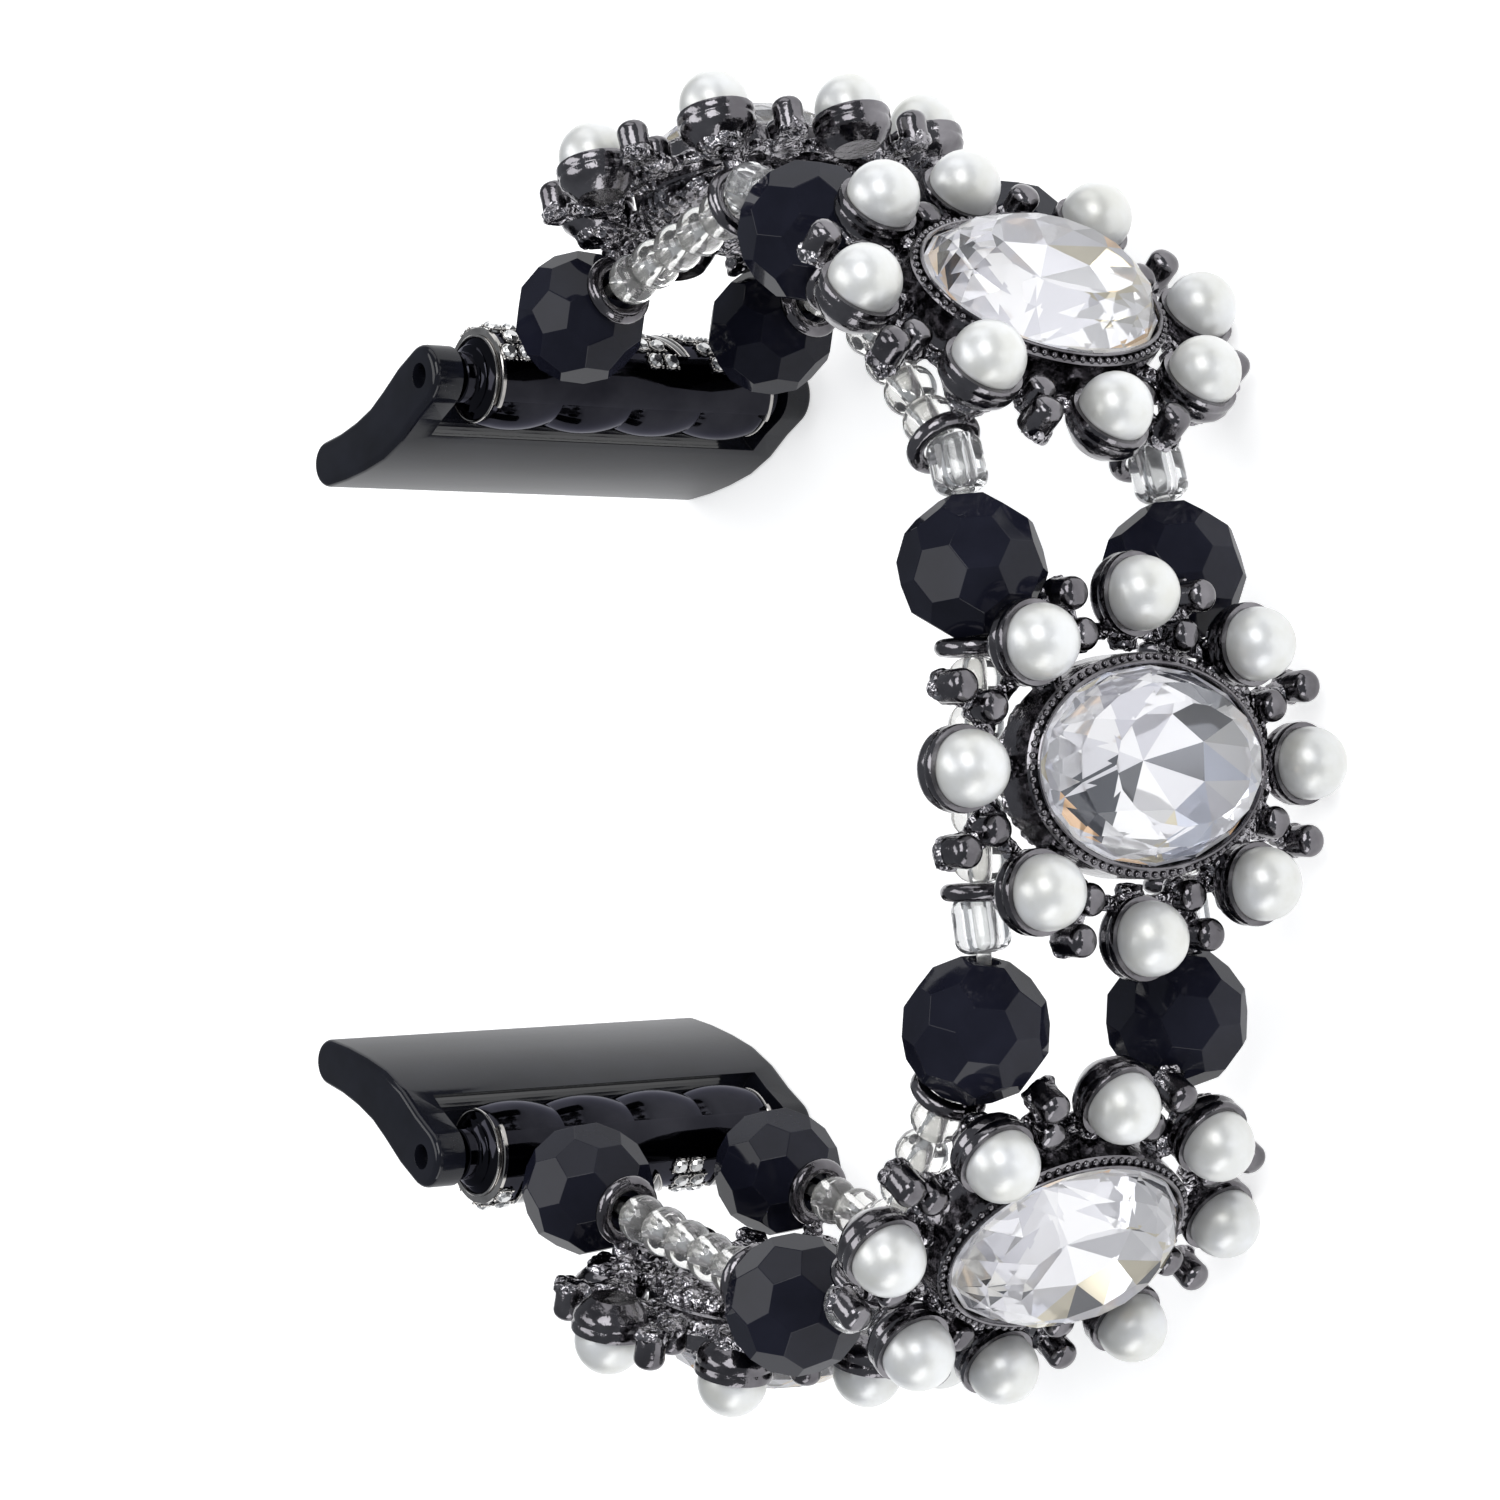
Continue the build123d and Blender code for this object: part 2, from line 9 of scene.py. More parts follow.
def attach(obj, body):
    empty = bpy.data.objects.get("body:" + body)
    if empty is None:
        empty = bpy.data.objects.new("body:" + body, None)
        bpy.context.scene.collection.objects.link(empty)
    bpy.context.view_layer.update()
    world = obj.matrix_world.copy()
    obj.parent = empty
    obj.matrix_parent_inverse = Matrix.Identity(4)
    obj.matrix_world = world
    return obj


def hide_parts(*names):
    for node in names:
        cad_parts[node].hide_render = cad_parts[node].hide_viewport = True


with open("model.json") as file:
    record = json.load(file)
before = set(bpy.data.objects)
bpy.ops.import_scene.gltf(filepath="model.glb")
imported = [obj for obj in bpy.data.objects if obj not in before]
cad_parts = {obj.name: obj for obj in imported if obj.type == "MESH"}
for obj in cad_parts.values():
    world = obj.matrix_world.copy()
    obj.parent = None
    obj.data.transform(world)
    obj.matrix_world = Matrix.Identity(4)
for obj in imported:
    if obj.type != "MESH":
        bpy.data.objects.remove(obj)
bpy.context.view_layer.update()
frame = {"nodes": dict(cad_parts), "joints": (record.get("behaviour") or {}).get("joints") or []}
MM = 0.001

# Sizes in millimetres, the same as in the solids
HALF_WIDTH = 14.2
STRAND = 7.1
RING_REACH = 6.4
RING_RADIUS = 1.65
RING_WIRE = 0.48
BEAD_RADIUS = 4.0
BEAD_BORE = 0.7
BEAD_TO_RING = 4.1973
PENTAGON_SHARE = 0.93910
HEXAGON_SHARE = 0.91497
SEEDS = 5
SEED_RADIUS = 1.5
PEARL_LIFT = 5.3
PEARL_RADIUS = 2.0
CORNER_RISE = 0.7
END_PEARL = 9.05
SIDE_PEARL = 11.9
CORNER_PEARL = (6.4, 7.6)
BEZEL = (5.95, 8.4)
BEZEL_WALL = 0.65
BEZEL_TOP = 5.9
WEB = (7.7, 10.4)
WEB_BASE = 3.3
WEB_THICK = 0.8
PEG_RADIUS = 0.9
OUTER_PEG_RISE = 0.3
END_PEGS = ((6.9, 3.55), (9.0, 4.5))
SIDE_PEGS = ((3.15, 9.8), (4.2, 12.0))
CROWN = 2.5
TUBE_RADIUS = 3.05
TUBE_NOTCH = 2.6
LOBE = 5.2
LOBES = 4
SADDLE_RADIUS = 3.15
SADDLE_HALF = 10.2
SADDLE_MIDDLE = 82.0
SADDLE_SPREAD = 134.0
SADDLE_SKIRT = 45.0
COLLAR = 1.3
EAR = 2.0


def joint_place(name):
    """Place of a joint in millimetres."""
    return next(Vector(joint["pos_m"]) / MM for joint in frame["joints"] if joint["name"] == name)


def spin_of(body):
    """Axis and place in millimetres of the joint that carries a body."""
    joint = next(joint for joint in frame["joints"] if joint["child"] == body)
    return Vector(joint["axis"]), Vector(joint["pos_m"]) / MM


def medallion_frame(number):
    """Matrix from a medallion's own axes (along, across, outward) to the row, in millimetres."""
    bends = ["top_bead_bend", "gap_12", "gap_23", "gap_34", "gap_45", "bottom_bead_bend"]
    above, below = bends[number - 1], bends[number]
    top = joint_place(above if number == 1 else f"{above}_bead_bend")
    bottom = joint_place(below if number == 5 else f"{below}_barrel_bend")
    along = (top - bottom).normalized()
    across = Vector((0, 0, 1))
    outward = along.cross(across)
    middle = top - along * (RING_REACH + BEAD_TO_RING)
    middle.z = HALF_WIDTH
    columns = Matrix((along, across, outward)).transposed().to_4x4()
    return Matrix.Translation(middle) @ columns


class Shape:
    """Vertices, faces and a material index for each face."""

    def __init__(self):
        self.verts = []
        self.faces = []
        self.mats = []

    def add(self, verts, faces, mat=0):
        start = len(self.verts)
        self.verts += [Vector(v) for v in verts]
        self.faces += [tuple(start + i for i in face) for face in faces]
        self.mats += [mat] * len(faces)
        return self

    def join(self, other, matrix=None, mat=0):
        start = len(self.verts)
        self.verts += [matrix @ v if matrix else v.copy() for v in other.verts]
        self.faces += [tuple(start + i for i in face) for face in other.faces]
        self.mats += [mat] * len(other.faces)
        return self


def skin(rows, looped=False):
    """Joins rows of points with four-sided faces. The end rows are capped, or meet where looped."""
    count = len(rows[0])
    faces = []
    for row in range(len(rows) if looped else len(rows) - 1):
        here, there = row * count, (row + 1) % len(rows) * count
        for k in range(count):
            n = (k + 1) % count
            faces.append((here + k, here + n, there + n, there + k))
    if not looped:
        faces.append(tuple(reversed(range(count))))
        faces.append(tuple(range((len(rows) - 1) * count, len(rows) * count)))
    return Shape().add([place for row in rows for place in row], faces)


def lathe(profile, steps, closed=False):
    """Turns (radius, height) points about Z. Ends on the axis close themselves."""
    rings = []
    verts = []
    for radius, height in profile:
        if radius < 1e-6:
            rings.append([len(verts)])
            verts.append((0, 0, height))
        else:
            rings.append(list(range(len(verts), len(verts) + steps)))
            verts += oval((radius, radius), 0, height, steps)
    faces = []
    pairs = list(zip(rings, rings[1:]))
    if closed:
        pairs.append((rings[-1], rings[0]))
    for low, high in pairs:
        for k in range(steps):
            n = (k + 1) % steps
            if len(low) == 1 and len(high) > 1:
                faces.append((low[0], high[n], high[k]))
            elif len(high) == 1 and len(low) > 1:
                faces.append((low[k], low[n], high[0]))
            elif len(low) > 1:
                faces.append((low[k], low[n], high[n], high[k]))
    return Shape().add(verts, faces)


def arc(centre, radius, start, end, steps):
    """Points of an arc, in degrees."""
    angles = [math.radians(start + (end - start) * k / steps) for k in range(steps + 1)]
    return [(centre[0] + radius * math.cos(a), centre[1] + radius * math.sin(a)) for a in angles]


def oval(semi, offset, height, steps, shift=0.0):
    """Points of an oval whose semi-axes are grown by an offset, turned by a share of one step."""
    wide, deep = semi[0] + offset, semi[1] + offset
    angles = [2 * math.pi * (k + shift) / steps for k in range(steps)]
    return [(wide * math.cos(a), deep * math.sin(a), height) for a in angles]


def oval_wall(semi, inner, low, high, bevel, steps):
    """Upright oval ring between two ovals, with bevelled edges."""
    outside = ((-bevel, low), (0, low + bevel), (0, high - bevel), (-bevel, high))
    inside = ((bevel, high), (0, high - bevel), (0, low + bevel), (bevel, low))
    return skin([oval(semi, offset, height, steps) for offset, height in outside]
                + [oval(inner, offset, height, steps) for offset, height in inside], looped=True)


def torus(major, minor, steps=40, sides=16):
    return lathe(arc((major, 0), minor, 0, 360 - 360 / sides, sides - 1), steps, closed=True)


def ball(radius, steps):
    return lathe(arc((0, 0), radius, -90, 90, steps // 2), steps)


def plug(profile, steps):
    """Turned solid whose profile runs in to the axis at both ends."""
    return lathe([(0, profile[0][1]), *profile, (0, profile[-1][1])], steps)


# Section of a bar, in shares of its half-width and its height
BAR_SECTION = ((-1.0, 0.0), (-0.9, 0.62), (-0.5, 0.94), (0.0, 1.0), (0.5, 0.94), (0.9, 0.62), (1.0, 0.0))


def domed_bar(start, end, width, height):
    """Flat bar with a domed top that lies on the web between two places."""
    run = Vector((end[0] - start[0], end[1] - start[1], 0))
    side = Vector((-run.y, run.x, 0)).normalized() * width / 2
    return skin([[(place[0] + side.x * across, place[1] + side.y * across, WEB_BASE + height * up)
                  for across, up in BAR_SECTION] for place in (start, end)])


def mirrored(place):
    return [(sx * place[0], sy * place[1]) for sx in (-1, 1) for sy in (-1, 1)]


def at(x=0, y=0, z=0):
    return Matrix.Translation(Vector((x, y, z)))


def placed(name, data):
    """New object in the scene."""
    thing = bpy.data.objects.new(name, data)
    bpy.context.scene.collection.objects.link(thing)
    return thing


def new_mesh(name, verts, faces):
    """Mesh whose faces all look outwards."""
    mesh = bpy.data.meshes.new(name)
    mesh.from_pydata([tuple(v) for v in verts], [], faces)
    work = bmesh.new()
    work.from_mesh(mesh)
    bmesh.ops.recalc_face_normals(work, faces=work.faces)
    work.to_mesh(mesh)
    work.free()
    return mesh


def make(name, shape, materials, body, matrix, smooth=True, sharp=None):
    """Turns a shape in millimetres into an object that rides on a body."""
    mesh = new_mesh(name, [(matrix @ v) * MM for v in shape.verts], shape.faces)
    for material in materials:
        mesh.materials.append(material)
    for polygon, index in zip(mesh.polygons, shape.mats):
        polygon.material_index = index
        polygon.use_smooth = smooth
    if sharp is not None:
        mesh.set_sharp_from_angle(angle=math.radians(sharp))
    piece = placed(name, mesh)
    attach(piece, body)
    return piece


def dress(node, material):
    """Gives a carried-over solid its material."""
    mesh = frame["nodes"][node].data
    mesh.materials.clear()
    mesh.materials.append(material)


def evaluated(piece):
    """New mesh of a piece as its modifiers leave it."""
    depsgraph = bpy.context.evaluated_depsgraph_get()
    return bpy.data.meshes.new_from_object(piece.evaluated_get(depsgraph))


def discard(piece):
    mesh = piece.data
    bpy.data.objects.remove(piece)
    bpy.data.meshes.remove(mesh)


def carve(piece, tool, place):
    """Takes a shape away from a piece."""
    mesh = new_mesh("carving_tool", [(place @ v) * MM for v in tool.verts], tool.faces)
    cutter = placed("carving_tool", mesh)
    modifier = piece.modifiers.new("carve", "BOOLEAN")
    modifier.operation = "DIFFERENCE"
    modifier.solver = "EXACT"
    modifier.object = cutter
    carved = evaluated(piece)
    piece.modifiers.clear()
    old = piece.data
    piece.data = carved
    bpy.data.meshes.remove(old)
    discard(cutter)


# Materials

def new_material(name, **values):
    material = bpy.data.materials.new(name)
    material.use_nodes = True
    shader = material.node_tree.nodes["Principled BSDF"]
    for key, value in values.items():
        shader.inputs[key.replace("_", " ")].default_value = value
    return material, material.node_tree, shader


def texture(tree, kind, scale):
    """Texture in object space, its scale in lumps per millimetre."""
    place = tree.nodes.new("ShaderNodeTexCoord")
    node = tree.nodes.new(kind)
    node.inputs["Scale"].default_value = scale / MM
    tree.links.new(place.outputs["Object"], node.inputs["Vector"])
    return node


def noise(tree, scale, detail=4.0):
    """Value of noise between 0 and 1."""
    node = texture(tree, "ShaderNodeTexNoise", scale)
    node.inputs["Detail"].default_value = detail
    node.inputs["Roughness"].default_value = 0.55
    return node.outputs["Fac"]


def cells(tree, scale):
    """Distance to the nearest of scattered points, for crumpled metal."""
    return texture(tree, "ShaderNodeTexVoronoi", scale).outputs["Distance"]


def added(tree, first, second, share):
    """First value plus a share of the second."""
    node = tree.nodes.new("ShaderNodeMath")
    node.operation = "MULTIPLY_ADD"
    node.inputs[1].default_value = share
    tree.links.new(second, node.inputs[0])
    tree.links.new(first, node.inputs[2])
    return node.outputs["Value"]


def ramp(tree, source, ends, shades):
    """Colour ramp between two shades, which lie at these ends of a value."""
    node = tree.nodes.new("ShaderNodeValToRGB")
    for element, place, shade in zip(node.color_ramp.elements, ends, shades):
        element.position = place
        element.color = (*shade, 1)
    tree.links.new(source, node.inputs["Fac"])
    return node


def bump(tree, shader, source, strength, distance):
    node = tree.nodes.new("ShaderNodeBump")
    node.inputs["Strength"].default_value = strength
    node.inputs["Distance"].default_value = distance * MM
    tree.links.new(source, node.inputs["Height"])
    tree.links.new(node.outputs["Normal"], shader.inputs["Normal"])
    return node.outputs["Normal"]


def spread(tree, source, low, high):
    """Maps a 0 to 1 value to a range."""
    node = tree.nodes.new("ShaderNodeMapRange")
    node.inputs["To Min"].default_value = low
    node.inputs["To Max"].default_value = high
    tree.links.new(source, node.inputs["Value"])
    return node.outputs["Result"]


def surface(name, shades, tint, ends=(0.3, 0.7), rough=None, bumps=None, coated=False, **values):
    """Material whose colour and roughness wander with noise, over low bumps.

    tint is the colour noise's (scale, detail), rough is (scale, low, high), and bumps is (scale, detail,
    strength, height in millimetres). Where coated, the bumps reach the coat too."""
    material, tree, shader = new_material(name, **values)
    colour = ramp(tree, noise(tree, *tint), ends, shades)
    tree.links.new(colour.outputs["Color"], shader.inputs["Base Color"])
    if rough:
        scale, low, high = rough
        tree.links.new(spread(tree, noise(tree, scale), low, high), shader.inputs["Roughness"])
    if bumps:
        scale, detail, strength, distance = bumps
        waves = bump(tree, shader, noise(tree, scale, detail), strength, distance)
        if coated:
            tree.links.new(waves, shader.inputs["Coat Normal"])
    return material


def crumpled(material):
    """Gives a material the crumpled, glittering relief of the casting's back."""
    tree = material.node_tree
    height = added(tree, cells(tree, 1.7), noise(tree, 1.6, 2.0), share=0.8)
    bump(tree, tree.nodes["Principled BSDF"], height, strength=1.0, distance=0.35)
    return material


def faceted(name, shades, **values):
    """Material that shades each facet by the value that its mesh gives it, and the parts of its tree."""
    material, tree, shader = new_material(name, **values)
    facet = tree.nodes.new("ShaderNodeAttribute")
    facet.attribute_name = "facet"
    colour = ramp(tree, facet.outputs["Fac"], (0.0, 1.0), shades)
    tree.links.new(colour.outputs["Color"], shader.inputs["Base Color"])
    return material, tree, shader, facet.outputs["Fac"], colour


# Painted reflections of the crystals' facets by value: most are pale, with a few warm or bluish flashes
PAINTED_FACET_REFLECTIONS = ((0.22, (0.08, 0.085, 0.1)), (0.3, (0.3, 0.265, 0.2)), (0.37, (0.6, 0.55, 0.42)),
                (0.41, (0.8, 0.5, 0.27)), (0.45, (0.6, 0.58, 0.53)), (0.6, (0.4, 0.41, 0.45)),
                (0.64, (0.48, 0.51, 0.62)), (0.68, (0.62, 0.62, 0.64)), (0.85, (0.5, 0.5, 0.55)))


def crystal_foil():
    """The silvered back of the stone. Each facet gets a painted reflection, a shade from dark to pale, and
    glows in that shade as painted light.
    """
    material, tree, shader, _, colour = faceted("crystal_foil", ((0.05, 0.053, 0.065), (0.74, 0.74, 0.76)),
                                                Roughness=0.05, Metallic=0.5, Emission_Strength=0.24)
    for place, shade in PAINTED_FACET_REFLECTIONS:
        colour.color_ramp.elements.new(place).color = (*shade, 1)
    # Painted light: each facet glows faintly in its painted reflection shade
    tree.links.new(colour.outputs["Color"], shader.inputs["Emission Color"])
    return material


def jewel():
    """Small foiled stone under a glassy coat. Each facet is painted from dark to bright as a painted
    reflection, the darker ones more metallic.
    """
    material, tree, shader, facet, _ = faceted("rhinestone", ((0.1, 0.1, 0.11), (0.95, 0.95, 0.94)),
                                               Roughness=0.08, Coat_Weight=1.0, Coat_Roughness=0.02)
    tree.links.new(spread(tree, facet, 1.0, 0.4), shader.inputs["Metallic"])
    return material


def clear_glass(name, tint, clear):
    pale = tuple(channel * 0.97 for channel in tint)
    return surface(name, (pale, tint), tint=(0.5,), bumps=(0.7, 2.0, 0.2, 0.04), Roughness=0.03, IOR=1.5,
                   Transmission_Weight=clear)


# Bluish sheen of the black pieces: all their gloss comes from the coat
BLACK_COAT = {"Specular_IOR_Level": 0.0, "Coat_IOR": 1.55, "Coat_Tint": (0.86, 0.91, 1.0, 1)}

GUNMETAL = surface("gunmetal_polished", ((0.1, 0.095, 0.103), (0.19, 0.183, 0.195)), tint=(0.35,),
                   ends=(0.35, 0.65), rough=(1.6, 0.08, 0.2), bumps=(1.2, 3.0, 0.6, 0.1), Metallic=1.0)
ROUGH = crumpled(surface("gunmetal_rough", ((0.09, 0.086, 0.095), (0.46, 0.445, 0.47)), tint=(0.9,),
                         ends=(0.35, 0.65), rough=(2.5, 0.05, 0.18), Metallic=1.0))
# The tube's black plated mirror metal. Its base colour and edge tint are darkened further as painted shade
# falling on the tube.
MIRROR = surface("gunmetal_mirror", ((0.012, 0.012, 0.016), (0.028, 0.028, 0.034)), tint=(0.2,),
                 rough=(3.0, 0.04, 0.12), bumps=(0.8, 2.0, 0.25, 0.02), Metallic=1.0,
                 Specular_Tint=(0.6, 0.6, 0.64, 1))
PEARL = surface("pearl_lacquer", ((0.62, 0.62, 0.585), (0.71, 0.72, 0.73)), tint=(0.45, 3.0),
                rough=(3.0, 0.32, 0.44), bumps=(5.0, 3.0, 0.25, 0.02), Metallic=0.35, Roughness=0.36,
                Coat_Weight=0.3, Coat_Roughness=0.2)
BLACK = surface("black_glass", ((0.007, 0.0073, 0.013), (0.013, 0.0135, 0.023)), tint=(0.25,),
                ends=(0.3, 0.75), bumps=(0.6, 2.0, 0.12, 0.01), coated=True, Coat_Weight=0.32,
                Coat_Roughness=0.03, **BLACK_COAT)
SEED = clear_glass("seed_glass", (0.95, 0.945, 0.925), 0.92)
CLEAR = clear_glass("barrel_glass", (0.93, 0.935, 0.94), 0.92)
FRONT = surface("crystal_front", ((0.97, 0.965, 0.95), (1.0, 1.0, 1.0)), tint=(0.1,), Roughness=0.0,
                IOR=1.6, Transmission_Weight=1.0)
FOIL = crystal_foil()
ELASTIC = surface("elastic_clear", ((0.9, 0.9, 0.88), (0.98, 0.98, 0.97)), tint=(1.5,), Roughness=0.2,
                  IOR=1.4, Transmission_Weight=0.92)
ENAMEL = surface("enamel_black", ((0.004, 0.004, 0.005), (0.01, 0.01, 0.012)), tint=(0.8,),
                 rough=(2.0, 0.08, 0.2), Coat_Weight=1.0, Coat_Roughness=0.03, IOR=1.5)
SATIN = surface("satin_black", ((0.006, 0.0063, 0.009), (0.011, 0.0115, 0.017)), tint=(0.4,),
                bumps=(3.0, 3.0, 0.12, 0.02), coated=True, Coat_Weight=0.5, Coat_Roughness=0.1,
                **BLACK_COAT)
PIN = surface("pin_dark_steel", ((0.05, 0.05, 0.052), (0.11, 0.11, 0.11)), tint=(1.0,),
              rough=(4.0, 0.25, 0.4), Metallic=1.0)
SILVER = surface("bright_edge", ((0.3, 0.29, 0.28), (0.5, 0.48, 0.46)), tint=(1.0,), rough=(3.0, 0.1, 0.22),
                 Metallic=1.0)
JEWEL = jewel()


# Medallions

# Radius round a black bead that the crumpled back keeps clear of
BEAD_ROOM = 4.06

# Outside of a pearl cup from its foot up, about the pearl's middle, with a lip below the rim
CUP = ((0, -2.55), (1.35, -2.55), (1.5, -2.4), (1.75, -2.15), (2.12, -1.75), (2.25, -1.4), (2.19, -1.12),
       (2.19, -1.06), (2.27, -0.95), (2.29, -0.6), (2.24, -0.47))
CUP_RIM = -0.45
CUP_RIM_WIDTH = 0.04
PEARL_PLAY = 0.02

# A peg's chamfered foot and waist, and its rounded top edge: radius, dome over it and angles of its points
PEG_FOOT = ((PEG_RADIUS - 0.14, 0), (PEG_RADIUS - 0.01, 0.18))
PEG_WAIST = 0.96
PEG_EDGE = 0.62
PEG_DOME = 0.08
PEG_ANGLES = (12, 26, 40, 54, 68, 80)

# Bowl under the stone: shares of the bezel, and heights
BOWL = ((0, 2.02), (0.82, 2.02), (0.96, 2.5), (0.97, 4.4), (0.86, 4.4), (0.66, 2.45), (0, 2.4))

# The casting's back: width of its rim, spokes to the cups and pegs, and the lumps under cups, pegs and rings
WEB_RIM = (0.9, 1.1)
WEB_EDGE = 0.25
CUP_SPOKE = {"width": 1.5, "height": 1.25}
CUP_SPOKE_START = 0.68
PEG_SPOKE = {"width": 1.35, "height": 0.85}
PEG_SPOKE_START = 0.86
CUP_LUMP = ((1.2, -0.35), (1.6, 0.2))
CUP_LUMP_TOP = 1.5
CUP_LUMP_DROP = 2.1
PEG_LUMP = ((0.95, -0.2), (1.05, 0.25), (0.7, 0.9))
RING_STEM = ((0.6, 0.0), (0.55, 0.5), (0.95, 1.0))
RING_STEM_TOP = 0.6
RING_STEM_SINK = 0.1

# Voxel size of the melted back, and its relief: cells of dents with finer lumps over them
MELT_VOXEL = 0.16
DENT_SCALE = 1.25
DENT_LEVEL = 0.45
DENT_DEPTH = 0.32
LUMP_SCALE = 3.1
LUMP_HEIGHT = 0.08


def pearl_places():
    places = [(side * END_PEARL, 0, PEARL_LIFT) for side in (-1, 1)]
    places += [(0, side * SIDE_PEARL, PEARL_LIFT) for side in (-1, 1)]
    places += [(x, y, PEARL_LIFT + CORNER_RISE) for x, y in mirrored(CORNER_PEARL)]
    return places


def peg_pairs():
    """The inner and the outer peg of each of the eight pairs."""
    return [pair for inner, outer in (END_PEGS, SIDE_PEGS) for pair in zip(mirrored(inner), mirrored(outer))]


def cup_shape():
    """Goblet that holds a pearl."""
    pocket = PEARL_RADIUS + PEARL_PLAY
    inner = math.sqrt(pocket ** 2 - CUP_RIM ** 2)
    start = math.degrees(math.asin(CUP_RIM / pocket))
    return lathe([*CUP, (inner + CUP_RIM_WIDTH, CUP_RIM), *arc((0, 0), pocket, start, -90, 10)], 40)


def peg_shape(height):
    """Straight post with a chamfered foot, a slight waist, a rounded top edge and a low dome."""
    r = PEG_RADIUS
    shoulder = height - PEG_EDGE - PEG_DOME
    profile = [(0, 0), *PEG_FOOT, (r * PEG_WAIST, height * 0.4), (r, shoulder)]
    for angle in PEG_ANGLES:
        a = math.radians(angle)
        profile.append((r - PEG_EDGE + PEG_EDGE * math.cos(a), shoulder + PEG_EDGE * math.sin(a)))
    return lathe([*profile, (0.14, height - 0.01), (0, height)], 28)


def stone_bowl():
    """Oval bowl under the stone."""
    bowl = lathe(BOWL, 72)
    for vertex in bowl.verts:
        vertex.x *= BEZEL[0]
        vertex.y *= BEZEL[1]
    return bowl


def web_shape():
    """Rough back of the casting: plate, spokes and lumps, before it is melted into one."""
    shape = stone_bowl()
    hole = (WEB[0] - WEB_RIM[0], WEB[1] - WEB_RIM[1])
    shape.join(oval_wall(WEB, hole, WEB_BASE, WEB_BASE + WEB_THICK, WEB_EDGE, 64))
    cup_lump = [(radius, WEB_BASE + up) for radius, up in CUP_LUMP]
    peg_lump = plug([(radius, WEB_BASE + up) for radius, up in PEG_LUMP], 20)
    for x, y, z in pearl_places():
        shape.join(domed_bar((x * CUP_SPOKE_START, y * CUP_SPOKE_START), (x, y), **CUP_SPOKE))
        shape.join(plug([*cup_lump, (CUP_LUMP_TOP, z - CUP_LUMP_DROP)], 24), at(x, y))
    for near, far in peg_pairs():
        shape.join(domed_bar((near[0] * PEG_SPOKE_START, near[1] * PEG_SPOKE_START), far, **PEG_SPOKE))
        for place in (near, far):
            shape.join(peg_lump, at(*place))
    length = WEB_BASE + RING_STEM_TOP - RING_RADIUS
    stem = plug([(radius, length * share) for radius, share in RING_STEM], 20)
    for x, y in mirrored((RING_REACH, STRAND)):
        shape.join(stem, at(x, y, RING_RADIUS - RING_STEM_SINK))
    return shape


def melt(shape):
    """Fuses overlapping pieces into one cast skin, softens it and crumples it."""
    piece = placed("web", new_mesh("web", shape.verts, shape.faces))
    remesh = piece.modifiers.new("melt", "REMESH")
    remesh.mode = "VOXEL"
    remesh.voxel_size = MELT_VOXEL
    smooth = piece.modifiers.new("soften", "SMOOTH")
    smooth.factor = 0.5
    smooth.iterations = 3
    done = evaluated(piece)
    verts = []
    for vertex in done.vertices:
        dent = (DENT_LEVEL - field.voronoi(vertex.co * DENT_SCALE)[0][0]) * DENT_DEPTH
        lump = field.noise(vertex.co * LUMP_SCALE) * LUMP_HEIGHT
        verts.append(vertex.co + vertex.normal * (dent + lump))
    result = Shape().add(verts, [tuple(polygon.vertices) for polygon in done.polygons])
    discard(piece)
    bpy.data.meshes.remove(done)
    return result


def clear_of_beads(shape):
    """Dents the crumpled back where the black beads turn beside it."""
    for x, y in mirrored((RING_REACH + BEAD_TO_RING, STRAND)):
        middle = Vector((x, y, 0))
        for vertex in shape.verts:
            away = vertex - middle
            if away.length < BEAD_ROOM:
                vertex += away.normalized() * (BEAD_ROOM - away.length)


# Teeth on the bezel's rim, which stand on a wall with a thin lip inside it
TEETH = 72
TOOTH_RADIUS = 0.2
TOOTH_INSET = 0.24
WALL_DROP = 0.25
LIP_WIDTH = 0.22
LIP_RISE = 0.05


def bezel_shape():
    """Wall round the stone with a row of small teeth on its rim."""
    inner = (BEZEL[0] - BEZEL_WALL, BEZEL[1] - BEZEL_WALL)
    lip = (inner[0] + LIP_WIDTH, inner[1] + LIP_WIDTH)
    shape = oval_wall(BEZEL, inner, WEB_BASE, BEZEL_TOP - WALL_DROP, 0.12, 128)
    shape.join(oval_wall(lip, inner, WEB_BASE, BEZEL_TOP + LIP_RISE, 0.06, 128))
    line = (BEZEL[0] - TOOTH_INSET, BEZEL[1] - TOOTH_INSET)
    tooth = ball(TOOTH_RADIUS, 12)
    for a in even_angles(line, TEETH):
        shape.join(tooth, at(line[0] * math.cos(a), line[1] * math.sin(a), BEZEL_TOP - TOOTH_INSET))
    return shape


def even_angles(semi, count, steps=720):
    """Angles that part an oval into equal lengths."""
    angles = [2 * math.pi * k / steps for k in range(steps + 1)]
    points = [(semi[0] * math.cos(a), semi[1] * math.sin(a)) for a in angles]
    lengths = [0.0]
    for last, here in zip(points, points[1:]):
        lengths.append(lengths[-1] + math.dist(last, here))
    targets = [k / count * lengths[-1] for k in range(count)]
    return [next(a for a, length in zip(angles, lengths) if length >= target) for target in targets]


# The crystal's play in the bezel and the height of its edge
CRYSTAL_PLAY = 0.05
CRYSTAL_EDGE = BEZEL_TOP - 0.1
# Its rings from the back up: share of its size, height over the edge, turn in steps, and corners
CRYSTAL_RINGS = ((0.52, -2.3, 0.5, 8), (0.84, -1.15, 0.5, 16), (1.0, -0.3, 0.0, 16), (1.0, -0.05, 0.0, 16),
                 (0.97, 0.05, 0.0, 16), (0.83, CROWN * 0.62, 0.5, 16), (0.62, CROWN, 0.0, 16))
# The innermost ring of the back lies a little off the middle, like its tip, so that its facets differ
BACK_SKEW = (0.06, 0.036)
BACK_TIP = (0.05, 0.04, -3.2)


